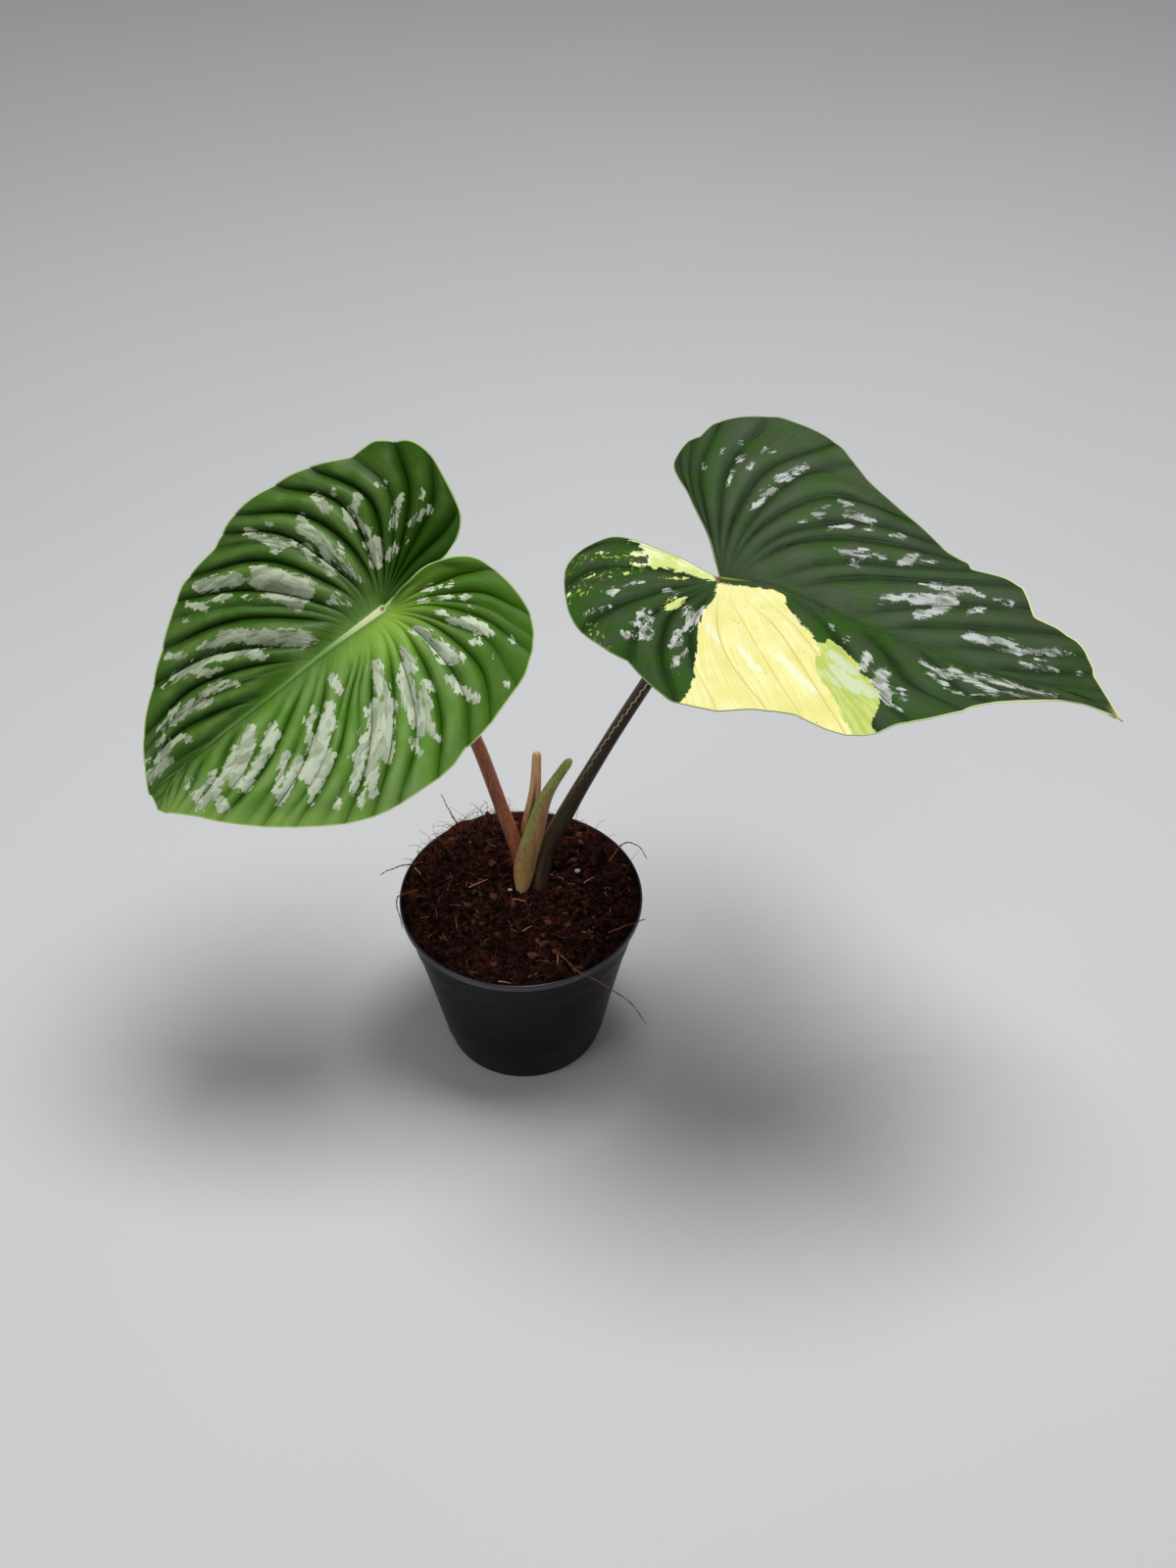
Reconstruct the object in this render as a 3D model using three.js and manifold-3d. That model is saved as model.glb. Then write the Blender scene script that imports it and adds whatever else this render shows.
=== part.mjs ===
// A potted philodendron: two heart-shaped, pleated blades on long leaf stalks, in a round nursery pot.
// Millimetres, +Z up. The origin is the centre of the pot's base, on the ground.
// X runs to the viewer's right and Y away from the viewer.
import * as THREE from "three";
import { mergeVertices } from "three/addons/utils/BufferGeometryUtils.js";
import Module from "manifold-3d";

const wasm = await Module();
wasm.setup();

// Driving dimensions
const GAP = 0.3;
const POT = {
  height: 95,
  rimRadius: 60,
  baseRadius: 40,
  wall: 1.3,
  floor: 2,
  lipWidth: 2.2,
  lipHeight: 4,
  holes: 8,
  holeRadius: 4,
  holeCircle: 28,
  holeSides: 16,
  footRound: 1.5,
  lipRound: 1.2,
  segments: 48,
};
const SOIL = { edgeTop: 93.9, edgeDrop: 3.9, crown: 2.1, backRise: 1.5, rings: 7, bump: 0.6, secondBump: 0.36 };
// The stem's outline, as parts of its radius and of its height from the bottom up
const STEM = { x: 4, y: 10.5, bottom: 62, top: 90, radius: 10, sides: 16 };
const STEM_OUTLINE = [[0.45, 0], [0.9, 0.25], [1, 0.7], [0.95, 1]];
// The level where the stalks and sheaths start, and where they stop standing straight up
const FOOT = STEM.top + 3 * GAP;
const FOOT_TOP = FOOT + 3.5;
const BLADE = {
  thickness: 1,
  midribBulge: 1.6,
  midribWidth: 5,
  midribStart: -8,
  rowsPerPleat: 3,
  columns: 8,
  pleatsPerRib: 2,
  foldRound: 5,
  reachFrom: 0.3,
};
// Pleats grow from the midline to full height, flatten a little at the margin and end before the tip
const PLEAT = { sharpness: 0.8, fullFrom: 0.3, fullTo: 0.75, atMargin: 0.4, tipPart: 0.35 };
// Where the two lobes pass each other, one is lifted: between these distances behind the junction
const LOBE_LIFT = { from: 2, to: 15, width: 28 };
const STALK = { sides: 12, steps: 24, junctionClearance: 4.4 };
// A sheath widens from its foot up to wideFrom and narrows from taperFrom to its tip.
// Its wall thins towards its two edges.
const SHEATH = { footScale: 0.4, wideFrom: 0.36, taperFrom: 0.5, edgeWall: 0.35, arcSteps: 6 };
const FIBRE = { radius: 0.45, sides: 6, stepsPerPoint: 5 };
const GRAIN = { radius: 1.7, width: 0.8, height: 0.7 };

// Blade plans, each in its blade's own plane: u runs from the stalk's junction to the tip and v sideways.
// Each half is a fan of main veins. A vein leaves the midline at its distance in starts, passes through two
// points and ends at the third, on the margin. The first vein is the edge of the notch at the stalk.
// The margin is wavy: reach says, at some places counted in veins, how far out it runs along the veins.
const LEFT_BLADE = {
  junction: [-57, 15, 262],
  normal: [-0.06, -0.68, 0.73],
  towardTip: [-0.745, -0.461, -0.482],
  length: 133,
  midline: [[0, 0], [32, -3], [64, -4.5], [95, -6.5], [113, -7], [133, -1]],
  starts: [0, 1, 2.5, 5, 9, 16, 38, 90, 116],
  minusHalf: [
    [[-17, -1], [-38, 0.5], [-55, -12]],
    [[-22, -12], [-46, -25], [-57, -48]],
    [[-15, -19], [-29, -40], [-25, -64]],
    [[-6, -25], [-5, -53], [12, -73]],
    [[8, -29], [23, -53], [48, -68]],
    [[30, -25], [52, -42], [78, -52]],
    [[59, -20], [85, -30], [113, -29]],
    [[103, -9.5], [117, -11.5], [129, -11]],
    [[121, -7.5], [126, -8], [131, -7]],
  ],
  plusHalf: [
    [[-14, 0], [-30, 1], [-47, 15]],
    [[-20, 9], [-38, 24], [-44, 52]],
    [[-14, 23], [-15, 50], [3, 73]],
    [[3, 28], [13, 54], [31, 75]],
    [[17, 27], [38, 51], [64, 66]],
    [[33, 22], [58, 41], [88, 50]],
    [[63, 9], [88, 19], [114, 25]],
    [[102, -1.5], [115, 3.5], [128, 6]],
    [[121, -4], [127, -0.5], [131.5, 2.5]],
  ],
  minusReach: [
    [0, 1.02], [0.4, 1.03], [0.8, 1.02], [1.2, 0.98], [1.75, 0.98], [2.2, 1.03], [3.2, 1.03], [3.75, 0.98],
    [4.2, 1.04], [5, 1.05], [6, 1.04], [6.5, 1.03], [7, 1.04], [8, 1.02], [9, 1],
  ],
  plusReach: [
    [0, 1], [0.7, 0.98], [1, 0.99], [1.4, 1.03], [2, 0.975], [2.5, 0.925], [2.75, 0.965], [3.5, 0.985],
    [3.75, 1], [5.5, 1], [6, 0.99], [6.5, 0.98], [7, 1], [9, 1],
  ],
  pleat: 2.2,
  fold: 0.06,
  droop: 0.0009,
  droopFrom: 70,
  lobeDroop: 0.0006,
  lobeLift: 2.4,
};
const RIGHT_BLADE = {
  junction: [89, 3, 288],
  normal: [0, -0.158, 0.987],
  towardTip: [0.925, -0.376, -0.06],
  length: 176,
  midline: [[0, 0], [26, 4], [66, -3], [104, -8], [139, -4], [160, 0.5], [176, -3]],
  starts: [0, 1, 2.5, 5, 10, 27, 65, 114, 150],
  minusHalf: [
    [[-25, 5], [-53, 4], [-62, -22]],
    [[-17, -17], [-33, -37], [-34, -61]],
    [[-6, -28], [-5, -55], [7, -80]],
    [[11, -27], [25, -50], [43, -71]],
    [[34, -20], [55, -44], [76, -69]],
    [[50, -16], [73, -36], [99, -51]],
    [[80, -16], [99, -28], [121, -28]],
    [[126, -10], [139, -10.5], [150, -8]],
    [[157, 0], [164, 0.5], [170, -1]],
  ],
  plusHalf: [
    [[-12, 19], [-27, 36], [-41, 54]],
    [[-15, 26], [-28, 52], [-29, 81]],
    [[-4, 32], [0, 63], [22, 85]],
    [[10, 34], [32, 56], [65, 57]],
    [[27, 30], [60, 40], [94, 44]],
    [[56, 19], [89, 29], [121, 39]],
    [[93, 7], [121, 16], [148, 25]],
    [[130, -1], [146, 5], [160, 12]],
    [[157, 0], [163, 2], [169, 4]],
  ],
  minusReach: [
    [0, 1], [0.25, 1.04], [0.5, 1.06], [0.75, 1.045], [1, 1.01], [1.25, 0.96], [1.5, 0.885], [1.75, 0.965],
    [2, 1.02], [2.5, 1.025], [3, 1], [3.25, 0.985], [3.45, 0.955], [3.75, 1], [4.25, 1.025], [4.75, 1],
    [5, 0.995], [5.7, 1.02], [6, 1], [6.25, 0.97], [6.5, 0.97], [7, 1], [9, 1],
  ],
  plusReach: [
    [0, 1], [0.5, 0.97], [0.75, 0.925], [0.9, 0.98], [1.5, 1.045], [2, 0.99], [2.25, 0.97], [2.5, 0.97],
    [3, 1.03], [3.5, 1.01], [3.75, 0.985], [4.05, 1.01], [4.4, 0.935], [4.7, 1], [5, 1], [5.6, 0.9],
    [5.75, 0.97], [6, 1], [6.5, 1.01], [6.75, 1.02], [7, 1], [9, 1],
  ],
  pleat: 1.6,
  fold: 0.16,
  droop: 0.0016,
  droopFrom: 90,
  lobeDroop: 0.0006,
  lobeLift: 0,
};

// Routes of the stalks and sheaths from the stem upwards, and their radii at the foot and at the top
const LEFT_STALK = {
  route: [
    [1.2, 10.5, FOOT],
    [1.2, 10.5, FOOT_TOP],
    [-1.8, 14.8, 111],
    [-9.9, 23.5, 135],
    [-20.2, 27.7, 172],
    [-38, 25, 222],
  ],
  radii: [3.5, 2.6],
};
const RIGHT_STALK = {
  route: [
    [9.6, 5.2, FOOT],
    [9.6, 5.4, FOOT_TOP],
    [12, 15, 109],
    [23.8, 24.8, 131],
    [42.6, 29, 170],
    [60.4, 24.5, 212],
    [79, 11, 262],
  ],
  radii: [4.2, 2.7],
};
const GREEN_SHEATH = {
  route: [
    [0.4, 1.6, FOOT],
    [0.4, 1.8, FOOT_TOP],
    [2.2, 7.6, 109],
    [7.2, 11.5, 128],
    [13.2, 13.6, 150],
    [25, 16, 172],
  ],
  halfWidth: 5.2,
  taper: 0.56,
  depth: 2.4,
  wall: 1.2,
};
const DRY_SHEATH = {
  route: [[2.6, 19, FOOT], [2.6, 19, FOOT_TOP], [3.4, 20.5, 118], [7.4, 22, 145], [8.8, 24, 169.5]],
  halfWidth: 3.8,
  taper: 0.42,
  depth: 1.6,
  wall: 1,
};

// Loose coir fibres over the rim, each a hand-laid route
const FIBRES = {
  coir_fibre_front: [[20, -40, 95.2], [28, -51, 97], [40, -60, 97.5], [52, -62, 88], [61, -69, 79]],
  coir_fibre_left: [[-50, 21, 96.2], [-58, 18.5, 97.2], [-65, 15.8, 97], [-71, 13, 95.5]],
  coir_fibre_right: [[44, 22, 96.3], [51, 31, 99.5], [57.5, 29.5, 100.5], [63, 21, 99]],
  coir_fibre_back: [[-32, 44, 96.7], [-37, 52, 99.5], [-40, 58, 101], [-43, 63, 104]],
  coir_fibre_rim_left: [
    [-51, 2, 95.9],
    [-56.5, -1, 97],
    [-60.6, -2.8, 96.6],
    [-61.6, -3.6, 92],
    [-60.5, -5, 84],
    [-59.5, -6, 77],
  ],
  coir_fibre_rim_right: [[43, -26, 95.6], [50, -23, 96.6], [57, -20.2, 97], [61.5, -18.5, 97.4]],
};
const PERLITE = { perlite_grain_right: [28, 15], perlite_grain_left: [-5.6, 1.6] };

const MATERIALS = {
  black_plastic: new THREE.MeshStandardMaterial({ color: 0x0b0b0d, roughness: 0.45, metalness: 0 }),
  soil: new THREE.MeshStandardMaterial({ color: 0x2a1512, roughness: 1, metalness: 0 }),
  light_leaf: new THREE.MeshStandardMaterial({ color: 0x5f8a3a, roughness: 0.5, metalness: 0 }),
  dark_leaf: new THREE.MeshStandardMaterial({ color: 0x2f4a2c, roughness: 0.45, metalness: 0 }),
  brown_stalk: new THREE.MeshStandardMaterial({ color: 0x7a4a30, roughness: 0.5, metalness: 0 }),
  olive_stalk: new THREE.MeshStandardMaterial({ color: 0x3a2c1c, roughness: 0.5, metalness: 0 }),
  green_sheath: new THREE.MeshStandardMaterial({ color: 0x6f6a38, roughness: 0.55, metalness: 0 }),
  dry_sheath: new THREE.MeshStandardMaterial({ color: 0xb07a52, roughness: 0.7, metalness: 0 }),
  fibre: new THREE.MeshStandardMaterial({ color: 0x6e4632, roughness: 0.9, metalness: 0 }),
  perlite: new THREE.MeshStandardMaterial({ color: 0xe8e6e0, roughness: 0.9, metalness: 0 }),
};

// Small helpers
const vec = (p) => new THREE.Vector3(...p);
const smoothstep = (from, to, x) => THREE.MathUtils.smoothstep(x, from, to);

// A mesh from shared vertices and triangles
function geometryOf(points, triangles) {
  const geometry = new THREE.BufferGeometry();
  geometry.setAttribute("position", new THREE.Float32BufferAttribute(points.flat(), 3));
  geometry.setIndex(triangles);
  geometry.computeVertexNormals();
  return geometry;
}

// The closed solid of a geometry, with only its positions kept and shared corners merged
function solidOf(geometry) {
  const bare = geometry.clone();
  bare.deleteAttribute("normal");
  bare.deleteAttribute("uv");
  const merged = mergeVertices(bare);
  return new wasm.Manifold(
    new wasm.Mesh({
      numProp: 3,
      vertProperties: merged.attributes.position.array,
      triVerts: new Uint32Array(merged.index.array),
    }),
  );
}

function geometryOfSolid(solid) {
  const mesh = solid.getMesh();
  const geometry = new THREE.BufferGeometry();
  geometry.setAttribute("position", new THREE.BufferAttribute(mesh.vertProperties, 3));
  geometry.setIndex(new THREE.BufferAttribute(mesh.triVerts, 1));
  geometry.computeVertexNormals();
  return geometry;
}

// The two triangles of each cell between neighbouring rings, closed round when a ring is
function strips(rings, perRing, closed, firstIndex = 0) {
  const triangles = [];
  const cells = closed ? perRing : perRing - 1;
  for (let ring = 0; ring + 1 < rings; ring++) {
    for (let i = 0; i < cells; i++) {
      const a = firstIndex + ring * perRing + i;
      const b = firstIndex + ring * perRing + ((i + 1) % perRing);
      triangles.push(a, b, b + perRing, a, b + perRing, a + perRing);
    }
  }
  return triangles;
}

// The same triangles with their faces turned round
function turned(triangles) {
  const swap = [0, 2, 1];
  return triangles.map((_, i) => triangles[i - (i % 3) + swap[i % 3]]);
}

// A value on the Catmull-Rom curve through a list of numbers, with optional guides before and after it
function catmullRom(values, position, before, after) {
  const last = values.length - 1;
  const i = Math.min(Math.floor(position), last - 1);
  const f = position - i;
  const first = before ?? 2 * values[0] - values[1];
  const final = after ?? 2 * values[last] - values[last - 1];
  const [a, b, c, d] = [first, ...values, final].slice(i, i + 4);
  return b + 0.5 * f * (c - a + f * (2 * a - 5 * b + 4 * c - d + f * (3 * (b - c) + d - a)));
}

// The midline's sideways place at a distance u
function midlineAt(plan, u) {
  const points = plan.midline;
  let i = 0;
  while (i + 2 < points.length && u > points[i + 1][0]) i++;
  const f = (u - points[i][0]) / (points[i + 1][0] - points[i][0]);
  return catmullRom(points.map((p) => p[1]), i + THREE.MathUtils.clamp(f, 0, 1));
}

// How far out the margin runs at a place counted in veins, on straight lines between the given places
function reachAt(reach, rib) {
  let i = 0;
  while (i + 2 < reach.length && rib > reach[i + 1][0]) i++;
  const [[from, start], [to, end]] = reach.slice(i, i + 2);
  return THREE.MathUtils.lerp(start, end, (rib - from) / (to - from));
}

// A point of one half of a blade's plan: rib counts along the veins, r runs from midline to margin.
// The notch's edge and the margin guide each other where they meet, so the outline runs round smoothly.
function planPoint(plan, side, rib, evenR) {
  const half = side < 0 ? plan.minusHalf : plan.plusHalf;
  const reach = reachAt(side < 0 ? plan.minusReach : plan.plusReach, rib);
  const r = evenR * (1 + (reach - 1) * smoothstep(BLADE.reachFrom, 1, evenR));
  const tip = [plan.length, plan.midline.at(-1)[1]];
  const veins = half.map((through, i) => [[plan.starts[i], midlineAt(plan, plan.starts[i])], ...through]);
  veins.push([tip, tip, tip, tip]);
  return [0, 1].map((axis) => {
    const lines = veins.map((vein) => vein.map((p) => p[axis]));
    const guideOf = (line) => (line === lines[0] ? lines[1][3] : undefined);
    const along = (line, at) => catmullRom(line, 3 * at, undefined, guideOf(line));
    return catmullRom(
      lines.map((line) => along(line, r)),
      rib,
      along(lines[0], (2 * r) / 3),
    );
  });
}

// The height of the blade's face over its plane: fold, droop, lobes that pass each other, and pleats
function bladeHeight(plan, side, u, v, rib, r) {
  const fold = plan.fold * (Math.hypot(v, BLADE.foldRound) - BLADE.foldRound);
  const droop = plan.droop * Math.max(0, u - plan.droopFrom) ** 2 + plan.lobeDroop * Math.min(0, u) ** 2;
  const behind = smoothstep(LOBE_LIFT.from, LOBE_LIFT.to, -u);
  const lift = side * plan.lobeLift * behind * Math.exp(-((v / LOBE_LIFT.width) ** 2));
  const phase = (rib * BLADE.pleatsPerRib) % 1;
  const ridge = Math.sin(Math.PI * phase) ** PLEAT.sharpness;
  const flatter = (1 - PLEAT.atMargin) * smoothstep(PLEAT.fullTo, 1, r);
  const room = smoothstep(0, PLEAT.fullFrom, r) * (1 - flatter);
  const nearTip = smoothstep(0, PLEAT.tipPart, (plan.length - u) / plan.length);
  return fold - droop + lift + plan.pleat * ridge * room * nearTip;
}

// A blade: an upper face of pleated rows from the notch to the tip, and a lower face offset from it
function bladeGeometry(plan) {
  const normal = vec(plan.normal).normalize();
  const along = vec(plan.towardTip);
  along.addScaledVector(normal, -along.dot(normal)).normalize();
  const across = new THREE.Vector3().crossVectors(normal, along);
  const place = (u, v, h) =>
    vec(plan.junction).addScaledVector(along, u).addScaledVector(across, v).addScaledVector(normal, h);

  const ribs = plan.starts.length;
  const rows = ribs * BLADE.pleatsPerRib * BLADE.rowsPerPleat;
  const perRow = 2 * BLADE.columns + 1;
  const faces = { upper: [], lower: [] };
  for (let row = 0; row < rows; row++) {
    for (let column = 0; column < perRow; column++) {
      const side = column < BLADE.columns ? -1 : 1;
      const r = Math.abs(column - BLADE.columns) / BLADE.columns;
      const rib = (ribs * row) / rows;
      const [u, v] = planPoint(plan, side, rib, r);
      const height = bladeHeight(plan, side, u, v, rib, r);
      const fromMidrib = v - midlineAt(plan, Math.max(0, u));
      const onMidrib = Math.exp(-((fromMidrib / BLADE.midribWidth) ** 2));
      const alongMidrib = smoothstep(BLADE.midribStart, 0, u) * (1 - u / plan.length);
      const bulge = BLADE.midribBulge * onMidrib * alongMidrib;
      faces.upper.push(place(u, v, height).toArray());
      faces.lower.push(place(u, v, height - BLADE.thickness - bulge).toArray());
    }
  }
  const tipHeight = bladeHeight(plan, 1, plan.length, 0, ribs, 0);
  const tipV = plan.midline.at(-1)[1];
  const tip = place(plan.length, tipV, tipHeight - BLADE.thickness / 2).toArray();

  const count = rows * perRow;
  const points = [...faces.upper, ...faces.lower, tip];
  const tipIndex = 2 * count;
  const triangles = [...turned(strips(rows, perRow, false)), ...strips(rows, perRow, false, count)];
  const quad = (a, b) => triangles.push(b, a, count + a, b, count + a, count + b);
  for (let row = 0; row + 1 < rows; row++) {
    quad(row * perRow, (row + 1) * perRow);
    quad((row + 1) * perRow + perRow - 1, row * perRow + perRow - 1);
  }
  const lastRow = (rows - 1) * perRow;
  for (let column = 0; column + 1 < perRow; column++) {
    quad(column + 1, column);
    triangles.push(lastRow + column, tipIndex, lastRow + column + 1);
    triangles.push(count + lastRow + column, count + lastRow + column + 1, tipIndex);
  }
  triangles.push(lastRow, count + lastRow, tipIndex);
  triangles.push(lastRow + perRow - 1, tipIndex, count + lastRow + perRow - 1);
  return geometryOf(points, triangles);
}

// A solid swept along a route, with a section in the frame of side and front directions
function sweptGeometry(route, steps, section) {
  const curve = new THREE.CatmullRomCurve3(route.map(vec));
  const frontHint = new THREE.Vector3(0, -1, 0);
  const points = [];
  let perRing = 0;
  for (let step = 0; step <= steps; step++) {
    const t = step / steps;
    const centre = curve.getPoint(t);
    const forward = curve.getTangent(t);
    const side = new THREE.Vector3().crossVectors(forward, frontHint).normalize();
    const front = new THREE.Vector3().crossVectors(side, forward);
    const place = ([x, y]) => centre.clone().addScaledVector(side, x).addScaledVector(front, y);
    const ring = section(t).map(place);
    perRing = ring.length;
    points.push(...ring.map((p) => p.toArray()));
  }
  const middleOf = (ring) => {
    const sum = new THREE.Vector3();
    for (let i = 0; i < perRing; i++) sum.add(vec(points[ring * perRing + i]));
    return sum.divideScalar(perRing).toArray();
  };
  const foot = points.length;
  points.push(middleOf(0), middleOf(steps));
  const triangles = strips(steps + 1, perRing, true);
  for (let i = 0; i < perRing; i++) {
    const next = (i + 1) % perRing;
    triangles.push(foot, next, i);
    triangles.push(foot + 1, steps * perRing + i, steps * perRing + next);
  }
  return geometryOf(points, triangles);
}

const circleSection = (radius, sides) =>
  Array.from({ length: sides }, (_, i) => {
    const angle = (2 * Math.PI * i) / sides;
    return [radius * Math.cos(angle), -radius * Math.sin(angle)];
  });

// A leaf stalk, ending just under its blade at the junction
function stalkRoute(stalk, plan) {
  const normal = vec(plan.normal).normalize();
  const top = vec(plan.junction).addScaledVector(normal, -STALK.junctionClearance);
  return [...stalk.route, top.toArray()];
}

function stalkGeometry(stalk, plan, extra = 0) {
  const [foot, top] = stalk.radii;
  return sweptGeometry(stalkRoute(stalk, plan), STALK.steps, (t) =>
    circleSection(THREE.MathUtils.lerp(foot, top, t) + extra, STALK.sides),
  );
}

// A sheath leaf: a crescent section, bulging to the front and narrowing to a pointed tip
function sheathGeometry(sheath, extra = 0) {
  return sweptGeometry(sheath.route, STALK.steps, (t) => {
    const widening = THREE.MathUtils.lerp(SHEATH.footScale, 1, smoothstep(0, SHEATH.wideFrom, t));
    const scale = widening * (1 - sheath.taper * smoothstep(SHEATH.taperFrom, 1, t));
    const outer = [];
    const inner = [];
    for (let i = 0; i <= SHEATH.arcSteps; i++) {
      const x = (2 * i) / SHEATH.arcSteps - 1;
      const bow = sheath.depth * (1 - x * x) * scale;
      const halfWall = 0.5 * sheath.wall * THREE.MathUtils.lerp(1, SHEATH.edgeWall, x * x) + extra;
      const across = (sheath.halfWidth * scale + extra) * x;
      outer.push([across, bow + halfWall]);
      inner.push([across, bow - halfWall]);
    }
    return [...outer, ...inner.reverse()];
  });
}

// The pot: a tapered wall with a narrow lip, a flat floor and a ring of drain holes
function potRadiusAt(z) {
  const wallTop = POT.rimRadius - POT.lipWidth;
  return THREE.MathUtils.lerp(POT.baseRadius, wallTop, z / (POT.height - POT.lipHeight));
}

function potGeometry() {
  const lipBottom = POT.height - POT.lipHeight;
  const inside = POT.rimRadius - POT.lipWidth - POT.wall;
  const profile = [
    [0, 0],
    [POT.baseRadius - POT.footRound, 0],
    [POT.baseRadius, POT.footRound],
    [potRadiusAt(lipBottom), lipBottom],
    [POT.rimRadius, lipBottom],
    [POT.rimRadius, POT.height - POT.lipRound],
    [POT.rimRadius - POT.lipRound, POT.height],
    [inside + POT.lipRound, POT.height],
    [inside, POT.height - POT.lipRound],
    [inside, lipBottom],
    [potRadiusAt(POT.floor) - POT.wall, POT.floor],
    [0, POT.floor],
  ];
  const body = new THREE.LatheGeometry(profile.map(([x, y]) => new THREE.Vector2(x, y)), POT.segments);
  let pot = solidOf(body.rotateX(Math.PI / 2));
  for (let i = 0; i < POT.holes; i++) {
    const angle = (2 * Math.PI * i) / POT.holes;
    const hole = new THREE.CylinderGeometry(POT.holeRadius, POT.holeRadius, 4 * POT.floor, POT.holeSides);
    hole.rotateX(Math.PI / 2);
    hole.translate(POT.holeCircle * Math.cos(angle), POT.holeCircle * Math.sin(angle), POT.floor / 2);
    pot = pot.subtract(solidOf(hole));
  }
  return geometryOfSolid(pot);
}

// The soil's upper face: crowned, higher at the back, and a little rough
function soilTop(x, y) {
  const radius = Math.hypot(x, y) / POT.rimRadius;
  const broad = Math.sin(0.31 * x + 1) * Math.sin(0.27 * y);
  const narrow = Math.sin(0.71 * x - 0.53 * y);
  const level = SOIL.edgeTop + SOIL.crown * (1 - radius * radius) + (SOIL.backRise * y) / POT.rimRadius;
  return level + SOIL.bump * broad + SOIL.secondBump * narrow;
}

function soilGeometry() {
  const bottom = POT.floor + GAP;
  const clear = POT.wall + GAP;
  const topRadius = potRadiusAt(SOIL.edgeTop - SOIL.edgeDrop) - clear;
  const bottomRadius = potRadiusAt(bottom) - clear;
  const points = [[0, 0, soilTop(0, 0)]];
  for (let ring = 1; ring <= SOIL.rings; ring++) {
    for (let i = 0; i < POT.segments; i++) {
      const angle = (2 * Math.PI * i) / POT.segments;
      const radius = (topRadius * ring) / SOIL.rings;
      const [x, y] = [radius * Math.cos(angle), radius * Math.sin(angle)];
      points.push([x, y, soilTop(x, y)]);
    }
  }
  for (let i = 0; i < POT.segments; i++) {
    const angle = (2 * Math.PI * i) / POT.segments;
    points.push([bottomRadius * Math.cos(angle), bottomRadius * Math.sin(angle), bottom]);
  }
  const foot = points.length;
  points.push([0, 0, bottom]);
  const triangles = [];
  for (let i = 0; i < POT.segments; i++) {
    const next = (i + 1) % POT.segments;
    const lastRing = 1 + SOIL.rings * POT.segments;
    triangles.push(0, 1 + i, 1 + next, foot, lastRing + next, lastRing + i);
  }
  triangles.push(...turned(strips(SOIL.rings + 1, POT.segments, true, 1)));
  return geometryOf(points, triangles);
}

// The short stem that carries the stalks, with its foot in the soil
function stemGeometry(extra = 0) {
  const height = STEM.top - STEM.bottom;
  const outline = STEM_OUTLINE.map(([wide, high]) => [STEM.radius * wide + extra, height * high]);
  outline[0][1] -= extra;
  outline.at(-1)[1] += 4 * extra;
  const profile = [[0, outline[0][1]], ...outline, [0, outline.at(-1)[1]]];
  const body = new THREE.LatheGeometry(profile.map(([x, y]) => new THREE.Vector2(x, y)), STEM.sides);
  return body.rotateX(Math.PI / 2).translate(STEM.x, STEM.y, STEM.bottom);
}

// The soil with room for the stem and for the feet of the stalks and sheaths
function cutSoilGeometry() {
  let soil = solidOf(soilGeometry());
  const feet = [
    stemGeometry(GAP),
    stalkGeometry(LEFT_STALK, LEFT_BLADE, GAP),
    stalkGeometry(RIGHT_STALK, RIGHT_BLADE, GAP),
    sheathGeometry(GREEN_SHEATH, GAP),
    sheathGeometry(DRY_SHEATH, GAP),
  ];
  for (const foot of feet) soil = soil.subtract(solidOf(foot));
  return geometryOfSolid(soil);
}

function fibreGeometry(route) {
  const steps = route.length * FIBRE.stepsPerPoint;
  return sweptGeometry(route, steps, () => circleSection(FIBRE.radius, FIBRE.sides));
}

function perliteGeometry([x, y]) {
  const grain = new THREE.IcosahedronGeometry(GRAIN.radius, 1);
  grain.scale(1, GRAIN.width, GRAIN.height);
  return grain.translate(x, y, soilTop(x, y) + GRAIN.radius);
}

// The object
const plant = new THREE.Group();
function addPiece(name, geometry, material) {
  const mesh = new THREE.Mesh(geometry, material);
  mesh.name = name;
  plant.add(mesh);
}
addPiece("nursery_pot", potGeometry(), MATERIALS.black_plastic);
addPiece("potting_mix", cutSoilGeometry(), MATERIALS.soil);
addPiece("stem", stemGeometry(), MATERIALS.green_sheath);
addPiece("left_petiole", stalkGeometry(LEFT_STALK, LEFT_BLADE), MATERIALS.brown_stalk);
addPiece("left_blade", bladeGeometry(LEFT_BLADE), MATERIALS.light_leaf);
addPiece("right_petiole", stalkGeometry(RIGHT_STALK, RIGHT_BLADE), MATERIALS.olive_stalk);
addPiece("right_blade", bladeGeometry(RIGHT_BLADE), MATERIALS.dark_leaf);
addPiece("green_cataphyll", sheathGeometry(GREEN_SHEATH), MATERIALS.green_sheath);
addPiece("dry_cataphyll", sheathGeometry(DRY_SHEATH), MATERIALS.dry_sheath);
for (const [name, route] of Object.entries(FIBRES)) {
  addPiece(name, fibreGeometry(route), MATERIALS.fibre);
}
for (const [name, place] of Object.entries(PERLITE)) {
  addPiece(name, perliteGeometry(place), MATERIALS.perlite);
}

export default plant;
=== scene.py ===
import math

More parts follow.
